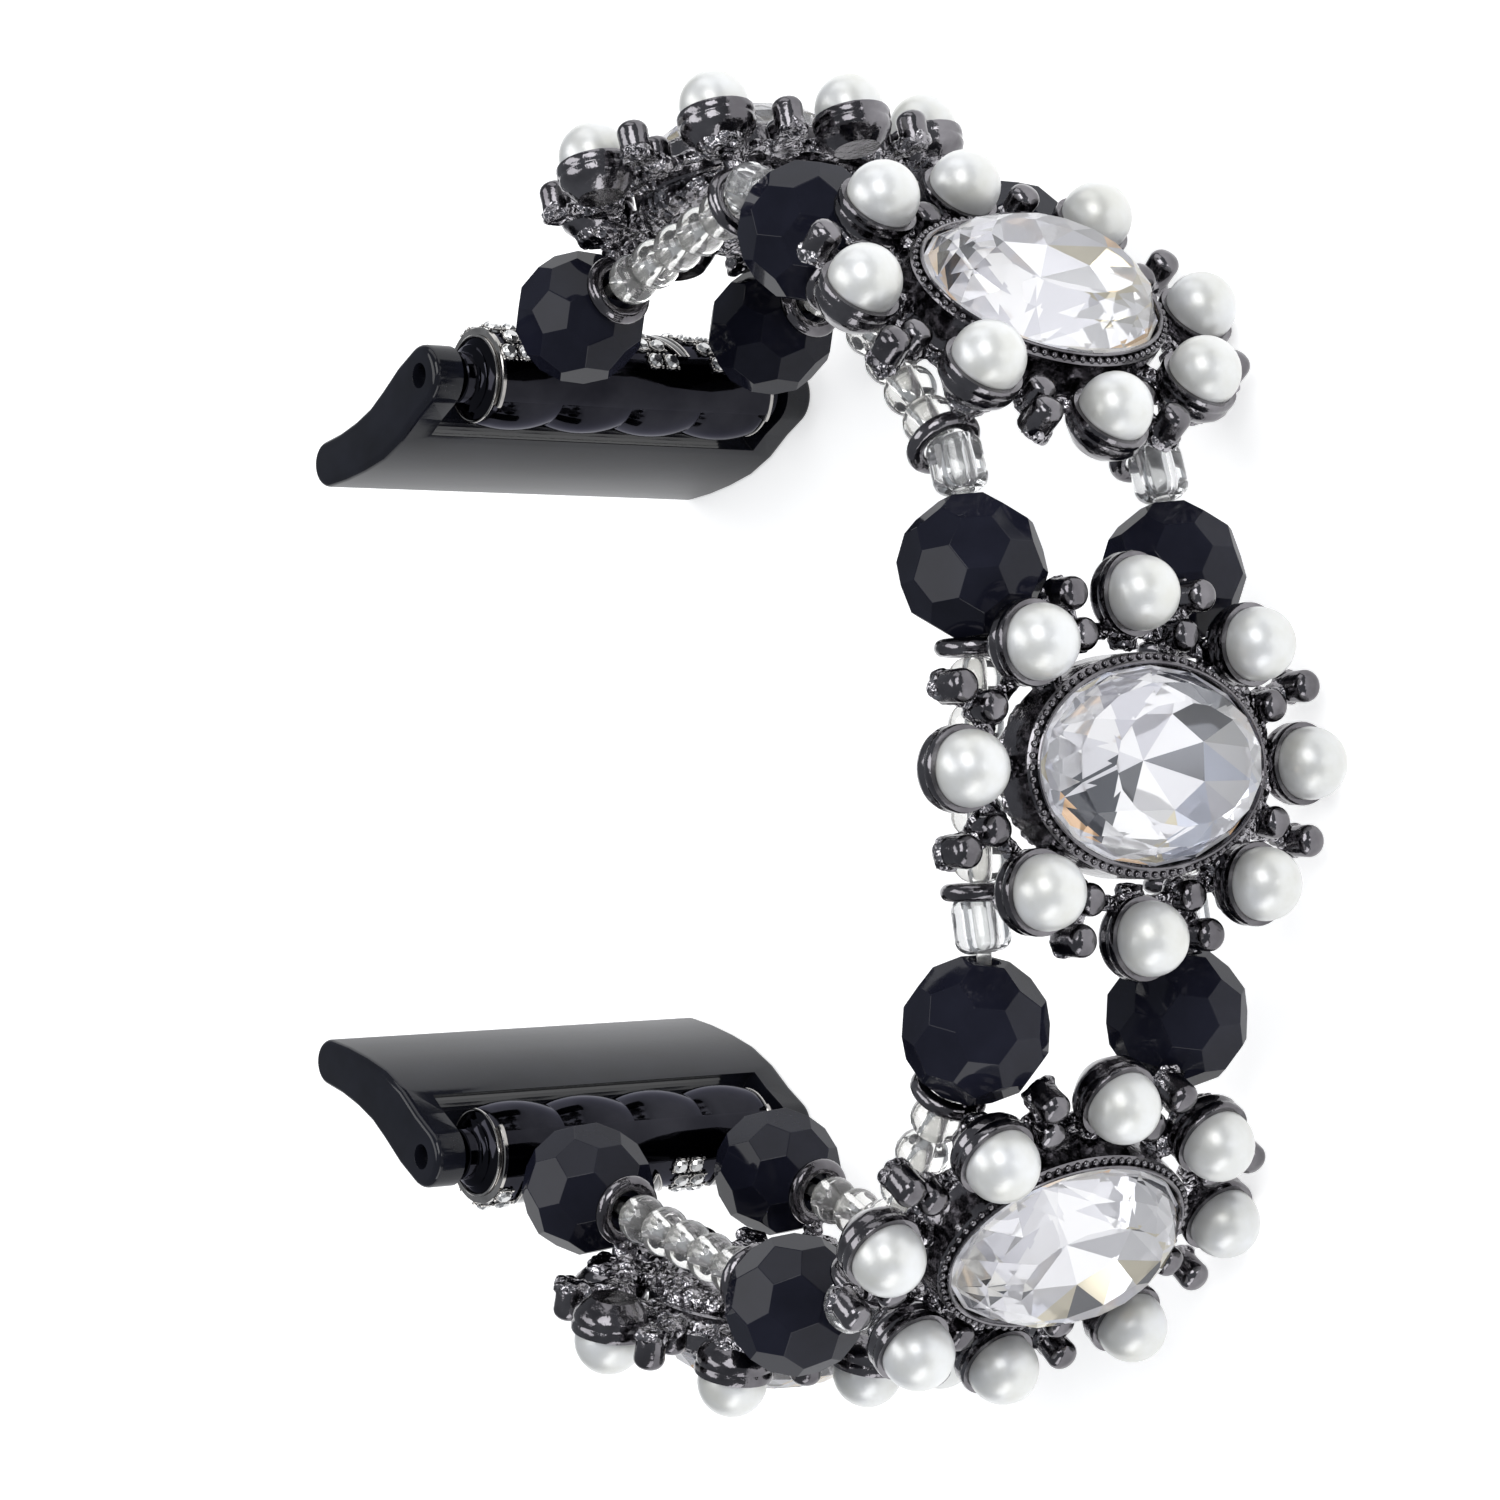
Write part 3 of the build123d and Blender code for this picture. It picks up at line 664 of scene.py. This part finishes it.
def crystal_shape():
    """Oval stone: table, two rows of crown facets, girdle, and a silvered back of fewer, larger facets."""
    semi = [size - BEZEL_WALL - CRYSTAL_PLAY for size in BEZEL]
    verts = []
    index = []
    for share, height, shift, count in CRYSTAL_RINGS:
        index.append(range(len(verts), len(verts) + count))
        skew = (0, 0) if index[1:] else BACK_SKEW
        angles = [2 * math.pi * (k + shift) / count for k in range(count)]
        verts += [(semi[0] * share * (math.cos(a) + skew[0]), semi[1] * share * (math.sin(a) + skew[1]),
                   CRYSTAL_EDGE + height) for a in angles]
    tip = len(verts)
    verts.append((semi[0] * BACK_TIP[0], semi[1] * BACK_TIP[1], CRYSTAL_EDGE + BACK_TIP[2]))
    inner, outer, girdle, edge, base, belt, table = index
    n = len(girdle)
    back = [(tip, inner[k], inner[(k + 1) % 8]) for k in range(8)]
    for k in range(8):
        m = (k + 1) % 8
        back += [(outer[2 * k], outer[2 * k + 1], inner[k]), (outer[2 * k + 1], inner[m], inner[k]),
                 (outer[2 * k + 1], outer[2 * m], inner[m])]
    for k in range(n):
        m = (k + 1) % n
        back += [(girdle[k], girdle[m], outer[k]), (girdle[m], outer[m], outer[k])]
    front = []
    for a, b in ((girdle, edge), (edge, base)):
        front += [(a[k], a[(k + 1) % n], b[(k + 1) % n], b[k]) for k in range(n)]
    for k in range(n):
        m = (k + 1) % n
        front += [(base[k], base[m], belt[k]), (base[m], belt[m], belt[k])]
        front += [(belt[k], table[m], table[k]), (belt[k], belt[m], table[m])]
    front.append(tuple(table))
    shape = Shape().add(verts, back, 1)
    shape.faces += front
    shape.mats += [0] * len(front)
    return shape


# Painted reflection values of the eight facets round the tip of each crystal's back
PALE_TIP = (1.0, 0.9, 0.72, 0.97, 0.88, 1.0, 0.82, 0.94)
MIXED_TIP = (1.0, 0.92, 0.05, 0.97, 0.85, 1.0, 0.9, 0.16)
TIP_SHADES = {1: PALE_TIP, 2: PALE_TIP, 3: MIXED_TIP, 4: PALE_TIP, 5: PALE_TIP}
# Share of facets given a dark painted reflection, that value, and the lowest value of the rest
DARK_SHARE = 0.08
DARK_VALUE = 0.1
LOWEST_VALUE = 0.28


def shade_facets(piece, seed, first=()):
    """Gives each face its own value, which the materials turn into a painted reflection shade, and the first
    faces set ones.
    """
    draw = random.Random(seed)
    mesh = piece.data
    layer = mesh.attributes.new("facet", "FLOAT", "FACE")
    for polygon in mesh.polygons:
        value = draw.random()
        bright = LOWEST_VALUE + (1 - LOWEST_VALUE) * value
        layer.data[polygon.index].value = DARK_VALUE if value < DARK_SHARE else bright
    for k, value in enumerate(first):
        layer.data[(k + seed) % len(first)].value = value


# Seed beads: bore, bevel at the bore, gap to the next bead, and what stays flat beside the rounding
SEED_BORE = 0.45
SEED_BEVEL = (0.08, 0.2)
SEED_GAP = 0.015
SEED_FLAT = 0.05


def seed_shape(radius, pitch):
    """Rounded glass ring about Z."""
    half = pitch / 2 - SEED_GAP
    rounding = pitch / 2 - SEED_FLAT
    wide, deep = SEED_BEVEL
    profile = [(SEED_BORE, -half + deep), (SEED_BORE + wide, -half)]
    profile += arc((radius - rounding, -half + rounding), rounding, -90, 0, 6)
    profile += arc((radius - rounding, half - rounding), rounding, 0, 90, 6)
    profile += [(SEED_BORE + wide, half), (SEED_BORE, half - deep)]
    return lathe(profile, 32, closed=True)


TO_X = Matrix.Rotation(math.radians(90), 4, "Y")


def medallion(number):
    place = medallion_frame(number)
    body = f"medallion_{number}"
    cup = cup_shape()
    casting = Shape()
    casting.join(WEB_MESH, mat=1)
    casting.join(bezel_shape())
    for spot in pearl_places():
        casting.join(cup, at(*spot))
    height = PEARL_LIFT - WEB_BASE
    for near, far in peg_pairs():
        casting.join(peg_shape(height), at(*near, WEB_BASE))
        casting.join(peg_shape(height + OUTER_PEG_RISE), at(*far, WEB_BASE))
    for x, y in mirrored((RING_REACH, STRAND)):
        casting.join(torus(RING_RADIUS, RING_WIRE), at(x, y) @ TO_X)
    piece = make(f"casting_{number}", casting, [GUNMETAL, ROUGH], body, place, sharp=42)
    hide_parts(f"medallion_{number}_casting")

    pearls = Shape()
    for spot in pearl_places():
        pearls.join(ball(PEARL_RADIUS, 40), at(*spot))
    piece = make(f"pearls_{number}", pearls, [PEARL], body, place)
    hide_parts(f"medallion_{number}_pearls")

    piece = make(f"crystal_{number}", crystal_shape(), [FRONT, FOIL], body, place, smooth=False)
    # Facet values for the crystal's painted reflections, with set ones round the tip
    shade_facets(piece, 40 + number, TIP_SHADES[number])
    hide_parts(f"medallion_{number}_crystal")

    draw = random.Random(90 + number)
    pitch = (2 * RING_REACH - 2 * RING_WIRE) / SEEDS
    seeds = Shape()
    for side in (-1, 1):
        for k in range(SEEDS):
            bead = seed_shape(SEED_RADIUS * draw.uniform(0.95, 1.0), pitch)
            turn = Matrix.Rotation(math.radians(draw.uniform(-2, 2)), 4, "Z")
            seeds.join(bead, at((k - (SEEDS - 1) / 2) * pitch, side * STRAND) @ turn @ TO_X)
    piece = make(f"seed_beads_{number}", seeds, [SEED], body, place)
    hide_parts(f"medallion_{number}_seed_beads")


# Black beads

def football(radius):
    """Round bead with twelve five-sided and twenty six-sided facets, its bore along X."""
    golden = (1 + math.sqrt(5)) / 2
    corners = []
    for a in (-1, 1):
        for b in (-1, 1):
            corners += [Vector((0, a, b * golden)), Vector((a, b * golden, 0)), Vector((b * golden, 0, a))]
    faces = []
    for i in range(len(corners)):
        for j in range(i):
            for k in range(j):
                trio = (corners[i], corners[j], corners[k])
                if all(abs((trio[s] - trio[s - 1]).length - 2) < 0.01 for s in range(3)):
                    faces.append(sum(trio, Vector()).normalized())
    turn = corners[0].normalized().rotation_difference(Vector((1, 0, 0))).to_matrix()
    work = bmesh.new()
    bmesh.ops.create_cube(work, size=2.2 * radius)
    cuts = [(c.normalized(), PENTAGON_SHARE) for c in corners] + [(f, HEXAGON_SHARE) for f in faces]
    for direction, share in cuts:
        facing = turn @ direction
        cut = bmesh.ops.bisect_plane(work, geom=work.verts[:] + work.edges[:] + work.faces[:], dist=1e-5,
                                     plane_co=facing * radius * share, plane_no=facing, clear_outer=True)
        edges = [e for e in cut["geom_cut"] if isinstance(e, bmesh.types.BMEdge)]
        bmesh.ops.contextual_create(work, geom=edges)
    bmesh.ops.remove_doubles(work, verts=work.verts, dist=1e-4)
    bmesh.ops.dissolve_limit(work, angle_limit=0.01, verts=work.verts, edges=work.edges)
    bmesh.ops.bevel(work, geom=work.edges[:], offset=0.035, segments=2, profile=0.5, affect="EDGES")
    work.verts.ensure_lookup_table()
    shape = Shape().add([v.co.copy() for v in work.verts], [[v.index for v in f.verts] for f in work.faces])
    work.free()
    return shape


# Hole of a black bead with its countersinks, about the bead's middle
BEAD_DRILL = ((BEAD_BORE + 1.2, -6), (BEAD_BORE + 0.1, -3.75), (BEAD_BORE, -3.6), (BEAD_BORE, 3.6),
              (BEAD_BORE + 0.1, 3.75), (BEAD_BORE + 1.2, 6))


def black_bead(node):
    """The faceted solid with softened edges and a countersunk bore."""
    axis, middle = spin_of(node)
    centre = Matrix.Translation(middle)
    turn = Vector((1, 0, 0)).rotation_difference(axis).to_matrix().to_4x4()
    drill_turn = Vector((0, 0, 1)).rotation_difference(axis).to_matrix().to_4x4()
    piece = make(f"{node}_cut", FOOTBALL, [BLACK], node, centre @ turn, smooth=False)
    carve(piece, plug(BEAD_DRILL, 24), centre @ drill_turn)
    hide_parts(node)


WEB_MESH = melt(web_shape())
clear_of_beads(WEB_MESH)
FOOTBALL = football(BEAD_RADIUS)
GAPS = ("gap_12", "gap_23", "gap_34", "gap_45")
for number in range(1, 6):
    medallion(number)
    dress(f"medallion_{number}_elastic", ELASTIC)
for gap in (*GAPS, "top", "bottom"):
    for side in ("near", "far"):
        black_bead(f"{gap}_{side}_bead")
for gap in GAPS:
    dress(f"{gap}_clear_barrels", CLEAR)
    dress(f"{gap}_elastic", ELASTIC)


# End pieces

# Cap at each end of the tube: radius, and height past the lobes
TUBE_CAP = ((0.8, COLLAR), (1.5, COLLAR), (1.59, COLLAR - 0.09), (1.59, 0.62), (1.72, 0.5), (1.98, 0.42),
            (2.08, 0.3), (2.02, 0.16), (2.15, 0.06), (2.45, -0.05))
TUBE_HOLE = 0.8

# Saddle plate, and the bright rims and rings along its sides
PLATE_INNER = 2.5
PLATE_DROP = 0.02
PLATE_INSET = 0.05
PLATE_BEVEL = 0.08
RIM_INNER = 2.55
RIM_HALF = 0.17
RIM_OVERRUN = 8.0
RIM_BEVEL = 0.06
END_RING = {"major": 2.62, "minor": 0.09, "steps": 72, "sides": 10}
END_RING_GAP = 0.08

# Enamel stripes: section of the filling in shares of its half-width and heights, and the wire beside it
STRIPES = (-0.72, -0.24, 0.24, 0.72)
STRIPE_LEAN = math.sin(math.radians(24))
STRIPE_HALF = 0.6
LEAF_SECTION = ((-0.86, 0.06), (-0.5, 0.15), (0, 0.18), (0.5, 0.15), (0.86, 0.06), (0.86, 0), (-0.86, 0))
LEAF_LIFT = 0.02
WIRE = (0.09, 0.11)
WIRE_LIFT = 0.12
WIRE_SHARE = 0.93

# Small stones: rings of (height, radius, turn in steps), with collets and grains round them
STONE_ROWS = 6
STONE_PITCH = 1.2
STONE_SIZE = 1.05
STONE_TO_ENAMEL = 0.12
STONE_TO_CORD = 0.1
STONE_RINGS = ((0, 0.51, 0.0), (0.37 * 0.62, 0.51 * 0.86, 0.5), (0.37, 0.3, 0.0), (-0.1, 0.51, 0.0))
STONE_LIFT = 0.04
COLLET = {"major": 0.48, "minor": 0.06, "steps": 16, "sides": 8}
COLLET_LIFT = 0.1
GRAIN_RADIUS = 0.12
GRAIN_PLACE = (0.44, 0.44)
GRAIN_LIFT = 0.08
CORD_RADIUS = 0.4


def wrapped(place, round_arc, radius, middle_angle):
    """Point on the saddle: place along the tube, and a length round it from the saddle's middle line."""
    angle = math.radians(middle_angle) + round_arc / SADDLE_RADIUS
    return Vector((radius * math.cos(angle), radius * math.sin(angle), place))


def tube_shape():
    """Four rounded lobes between two domed caps, each with a collar for the ear."""
    half = LOBE * LOBES / 2
    bulge = TUBE_RADIUS - TUBE_NOTCH
    curve = (LOBE ** 2 / 4 + bulge ** 2) / (2 * bulge)
    lobes = []
    steps = 14
    for lobe in range(LOBES):
        middle = -half + LOBE * (lobe + 0.5)
        for k in range(1 if lobe else 0, steps + 1):
            z = -LOBE / 2 + LOBE * k / steps
            lobes.append((TUBE_RADIUS - curve + math.sqrt(curve ** 2 - z ** 2), middle + z))
    low_cap = [(r, -half - z) for r, z in TUBE_CAP]
    high_cap = [(r, half + z) for r, z in reversed(TUBE_CAP)]
    return lathe(low_cap + lobes[1:-1] + high_cap + [(TUBE_HOLE, half), (TUBE_HOLE, -half)], 72, closed=True)


def band_shape(inner, outer, low, high, start, end, bevel, steps=48):
    """Curved plate between two angles, in degrees, with softened edges."""
    section = [(inner, low), (outer - bevel, low), (outer, low + bevel), (outer, high - bevel),
               (outer - bevel, high), (inner, high)]
    rows = []
    for k in range(steps + 1):
        a = math.radians(start + (end - start) * k / steps)
        shrink = bevel if k in (0, steps) else 0
        points = [(r - shrink if r > inner else r, z) for r, z in section]
        rows.append([(r * math.cos(a), r * math.sin(a), z) for r, z in points])
    return skin(rows)


def small_stone():
    """Cut stone with its table outwards along X and eight main facets."""
    verts = [(x, y, z) for x, radius, shift in STONE_RINGS
             for y, z, _ in oval((radius, radius), 0, 0, 8, shift)]
    faces = []
    for k in range(8):
        n = (k + 1) % 8
        faces += [(k, n, 8 + k), (n, 8 + n, 8 + k), (8 + k, 16 + n, 16 + k), (8 + k, 8 + n, 16 + n)]
        faces.append((24 + k, 24 + n, n, k))
    faces.append(tuple(range(16, 24)))
    faces.append(tuple(reversed(range(24, 32))))
    return Shape().add(verts, faces)


def stone_places(middle_angle, cord_angle):
    """The same places as in the solids: (place, length round the saddle)."""
    places = []
    count = int(2 * SADDLE_HALF / STONE_PITCH)
    for row in range(STONE_ROWS):
        lift = (row - (STONE_ROWS - 1) / 2) * STONE_PITCH
        around = lift + math.radians(middle_angle - cord_angle) * SADDLE_RADIUS
        for index in range(count):
            place = (index - (count - 1) / 2) * STONE_PITCH + STONE_PITCH / 2 * (row % 2)
            to_stripe = min(abs(place - share * SADDLE_HALF - lift * STRIPE_LEAN) for share in STRIPES)
            to_cord = math.hypot(around, abs(place) - STRAND)
            if (to_stripe >= STRIPE_HALF + STONE_SIZE / 2 + STONE_TO_ENAMEL
                    and to_cord >= STONE_SIZE / 2 + CORD_RADIUS + STONE_TO_CORD
                    and abs(place) <= SADDLE_HALF - STONE_SIZE / 2):
                places.append((place, lift))
    return places


def leaf_outline(share):
    """Half-widths along one leaning stripe: wide at its middle, pointed at its far end."""
    reach = math.radians(SADDLE_SPREAD / 2) * SADDLE_RADIUS
    low, high = -reach + STONE_SIZE, reach - STONE_SIZE
    rows = []
    steps = 24
    for k in range(steps + 1):
        t = k / steps
        round_arc = low + (high - low) * t
        if t < 0.5:
            width = STRIPE_HALF * (0.6 + 0.4 * math.sin(math.pi * t))
        else:
            width = STRIPE_HALF * math.cos(math.pi * (t - 0.5)) ** 0.8
        rows.append((round_arc, share * SADDLE_HALF + round_arc * STRIPE_LEAN, width))
    return rows


def leaf_shape(share, middle_angle):
    """Domed enamel filling of one stripe."""
    return skin([[wrapped(centre + width * across, round_arc, SADDLE_RADIUS + LEAF_LIFT + up, middle_angle)
                  for across, up in LEAF_SECTION] for round_arc, centre, width in leaf_outline(share)])


def leaf_wire(share, middle_angle, side):
    """Thin bright edge along one side of a stripe."""
    rows = []
    for round_arc, centre, width in leaf_outline(share):
        place = centre + side * width * WIRE_SHARE
        rows.append([wrapped(place + beside, round_arc, SADDLE_RADIUS + WIRE_LIFT + up, middle_angle)
                     for beside, up, _ in oval(WIRE, 0, 0, 6)])
    return skin(rows)


def pin_middle(end):
    pin = joint_place(f"{end}_pin_hinge")
    pin.z = HALF_WIDTH
    return pin


def end_tube(end, sign):
    pin = pin_middle(end)
    place = Matrix.Translation(pin)
    body = f"{end}_tube"
    middle_angle = SADDLE_MIDDLE * sign
    start, stop = sorted((middle_angle + sign * SADDLE_SPREAD / 2,
                          middle_angle - sign * (SADDLE_SPREAD / 2 + SADDLE_SKIRT)))
    tube = Shape()
    tube.join(tube_shape())
    half = SADDLE_HALF - PLATE_INSET
    tube.join(band_shape(PLATE_INNER, SADDLE_RADIUS - PLATE_DROP, -half, half, start, stop, PLATE_BEVEL))
    for side in (-1, 1):
        edge = side * (SADDLE_HALF - RIM_HALF)
        tube.join(band_shape(RIM_INNER, SADDLE_RADIUS, edge - RIM_HALF, edge + RIM_HALF, start - RIM_OVERRUN,
                             stop + RIM_OVERRUN, RIM_BEVEL), mat=1)
        tube.join(torus(**END_RING), at(0, 0, side * (SADDLE_HALF + END_RING_GAP)), mat=1)
    for share in STRIPES:
        for side in (-1, 1):
            tube.join(leaf_wire(share, middle_angle, side), mat=1)
    # The cord goes in where the near bead's axis meets the tube, and no stone stands there
    axis, mouth = spin_of(f"{end}_near_bead")
    if axis.dot(pin - mouth) < 0:
        axis = -axis
    inward = mouth + axis * BEAD_RADIUS * PENTAGON_SHARE - pin
    cord_angle = math.degrees(math.atan2(inward.y, inward.x))
    stone, collet, grain = small_stone(), torus(**COLLET), ball(GRAIN_RADIUS, 8)
    stones = Shape()
    for spot, lift in stone_places(middle_angle, cord_angle):
        turn = Matrix.Rotation(math.radians(middle_angle) + lift / SADDLE_RADIUS, 4, "Z")
        stones.join(stone, turn @ at(SADDLE_RADIUS + STONE_LIFT, 0, spot))
        tube.join(collet, turn @ at(SADDLE_RADIUS + COLLET_LIFT, 0, spot) @ TO_X, mat=1)
        for around, beside in mirrored(GRAIN_PLACE):
            tube.join(grain, turn @ at(SADDLE_RADIUS + GRAIN_LIFT, around, spot + beside), mat=1)
    piece = make(f"{end}_tube_body", tube, [MIRROR, SILVER], body, place, sharp=35)
    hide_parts(f"{end}_end_tube")
    piece = make(f"{end}_stones", stones, [JEWEL], body, place, smooth=False)
    # Random facet values for the stones' painted reflections
    shade_facets(piece, 7)
    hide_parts(f"{end}_rhinestones")
    leaves = Shape()
    for share in STRIPES:
        leaves.join(leaf_shape(share, middle_angle))
    piece = make(f"{end}_enamel", leaves, [ENAMEL], body, place, sharp=50)
    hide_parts(f"{end}_enamel_stripes")


# Middle line of the adapter from its pin: places and half-thicknesses
BLADE = ((0.0, 0.0, 1.9), (-1.6, -0.9, 1.93), (-3.4, -2.2, 1.93), (-5.2, -3.2, 1.8), (-7.2, -3.9, 1.65),
         (-9.3, -4.45, 1.53), (-11.3, -4.8, 1.45))
# Rounding of the adapter's ends, and the bores for the tube and for the pin
EDGE = 0.45
EDGE_STEPS = 6
TUBE_ROOM = 3.92
PIN_HOLE = 0.77
PIN_HOLE_REACH = 20.0


def blade_outline(sign, inset):
    """Outline of the adapter seen along its pin: a round ear that runs into an S-shaped blade."""
    upper, lower = [], []
    for index, (x, y, half) in enumerate(BLADE):
        radius = half - inset
        before = BLADE[max(index - 1, 0)]
        after = BLADE[min(index + 1, len(BLADE) - 1)]
        run = Vector((after[0] - before[0], after[1] - before[1])).normalized()
        side = Vector((-run.y, run.x))
        upper.append((x - side.x * radius, y - side.y * radius))
        lower.append((x + side.x * radius, y + side.y * radius))
    first = math.degrees(math.atan2(lower[0][1], lower[0][0]))
    ear = arc((0, 0), BLADE[0][2] - inset, first, first + 180, 20)
    x, y, half = BLADE[-1]
    angle = math.degrees(math.atan2(upper[-1][1] - y, upper[-1][0] - x))
    tip = arc((x, y), half - inset, angle, angle + 180, 16)
    points = ear + upper[1:-1] + tip + list(reversed(lower[1:-1]))
    return [(x, y * sign) for x, y in points]


def adapter(end, sign):
    place = Matrix.Translation(pin_middle(end))
    rows = []
    for side in (-1, 1):
        for k in range(EDGE_STEPS + 1):
            turn = math.pi / 2 * (k if side < 0 else EDGE_STEPS - k) / EDGE_STEPS
            level = side * (HALF_WIDTH - EDGE * (1 - math.cos(turn)))
            rows.append([(x, y, level) for x, y in blade_outline(sign, EDGE * (1 - math.sin(turn)))])
    piece = make(f"{end}_adapter_body", skin(rows), [SATIN], f"{end}_adapter", place, sharp=35)
    room = HALF_WIDTH - EAR
    carve(piece, plug(((TUBE_ROOM, -room), (TUBE_ROOM, room)), 72), place)
    carve(piece, plug(((PIN_HOLE, -PIN_HOLE_REACH), (PIN_HOLE, PIN_HOLE_REACH)), 32), place)
    soften(piece, 0.06)
    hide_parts(f"{end}_lug_adapter")


def soften(piece, width):
    modifier = piece.modifiers.new("edges", "BEVEL")
    modifier.width = width * MM
    modifier.segments = 2
    modifier.limit_method = "ANGLE"
    modifier.angle_limit = math.radians(40)
    modifier.harden_normals = True


for end, sign in (("top", 1), ("bottom", -1)):
    dress(f"{end}_end_elastic", ELASTIC)
    dress(f"{end}_cord_crimps", PIN)
    dress(f"{end}_hinge_pin", PIN)
    end_tube(end, sign)
    adapter(end, sign)


# Floor, light and camera

FLOOR_REACH = 3.0
FLOOR_CORNERS = [(x * FLOOR_REACH, y * FLOOR_REACH, 0) for x, y in ((-1, -1), (1, -1), (1, 1), (-1, 1))]
floor_mesh = bpy.data.meshes.new("floor")
floor_mesh.from_pydata(FLOOR_CORNERS, [], [(0, 1, 2, 3)])
floor_mesh.materials.append(new_material("floor_paint", Base_Color=(0.9, 0.9, 0.9, 1), Roughness=0.9,
                                         Emission_Color=(1, 1, 1, 1), Emission_Strength=0.6)[0])
floor = placed("floor", floor_mesh)

world = bpy.data.worlds.new("studio")
bpy.context.scene.world = world
world.use_nodes = True
world.node_tree.nodes["Background"].inputs["Color"].default_value = (0.88, 0.93, 1.0, 1)
world.node_tree.nodes["Background"].inputs["Strength"].default_value = 0.3

# Directions of the picture: right, up and towards the camera
PICTURE_RIGHT = Vector((0.59, 0.0, -0.81))
PICTURE_UP = Vector((0.0, 1.0, 0.0))
PICTURE_FRONT = Vector((0.81, 0.0, 0.59))
# What the lights are aimed at, in metres
AIM = Vector((0, 0, 0.014))


def softbox(name, right, up, front, reach, size, power):
    """Rectangular light that shines on the band from a direction of the picture."""
    light = bpy.data.lights.new(name, "AREA")
    light.shape = "RECTANGLE"
    light.size, light.size_y = size
    light.energy = power
    toward = (PICTURE_RIGHT * right + PICTURE_UP * up + PICTURE_FRONT * front).normalized()
    lamp = placed(name, light)
    lamp.location = toward * reach + AIM
    lamp.rotation_euler = (-toward).to_track_quat("-Z", "Y").to_euler()


softbox("main", -0.25, 0.5, 1.0, 0.45, (0.3, 0.2), 0.85)
softbox("over", -0.3, 1.0, 0.2, 0.45, (0.4, 0.2), 0.38)
softbox("left", -1.0, 0.2, 0.35, 0.45, (0.2, 0.45), 0.85)
softbox("under", 0.1, -1.0, 0.6, 0.45, (0.4, 0.16), 0.6)
softbox("right", 1.0, 0.15, 0.9, 0.5, (0.07, 0.35), 0.4)

# The camera was fitted to the photo with the middle medallion's cord centre as its origin
CAMERA_AZIMUTH = 36.276
CAMERA_ELEVATION = 0.975
CAMERA_ROLL = 0.106
CAMERA_DISTANCE = 207.229
CAMERA_FOCAL_PIXELS = 3879.94
CAMERA_SHIFT = (17.617, -0.971)
CAMERA_CLIP = 0.01
PHOTO_PIXELS = 1500
SENSOR = 36.0


def photo_camera():
    azimuth, elevation, roll = (math.radians(v) for v in (CAMERA_AZIMUTH, CAMERA_ELEVATION, CAMERA_ROLL))
    back = Vector((math.cos(azimuth) * math.cos(elevation), -math.sin(azimuth) * math.cos(elevation),
                   math.sin(elevation)))
    right = Vector((math.sin(azimuth), math.cos(azimuth), 0))
    up = back.cross(right)
    right, up = (right * math.cos(roll) + up * math.sin(roll), up * math.cos(roll) - right * math.sin(roll))
    place = -CAMERA_SHIFT[0] * right - CAMERA_SHIFT[1] * up + CAMERA_DISTANCE * back

    def row(v):
        """From the camera fit's axes to the row's."""
        return Vector((v.x, v.z, -v.y))

    centre = medallion_frame(3).translation
    data = bpy.data.cameras.new("photo")
    data.sensor_width = SENSOR
    data.lens = CAMERA_FOCAL_PIXELS / PHOTO_PIXELS * SENSOR
    data.clip_start = CAMERA_CLIP
    camera = placed("photo", data)
    axes = Matrix((row(right), row(up), row(back))).transposed().to_4x4()
    camera.matrix_world = Matrix.Translation((centre + row(place)) * MM) @ axes
    bpy.context.scene.camera = camera


photo_camera()
bpy.context.scene.view_settings.view_transform = "Standard"
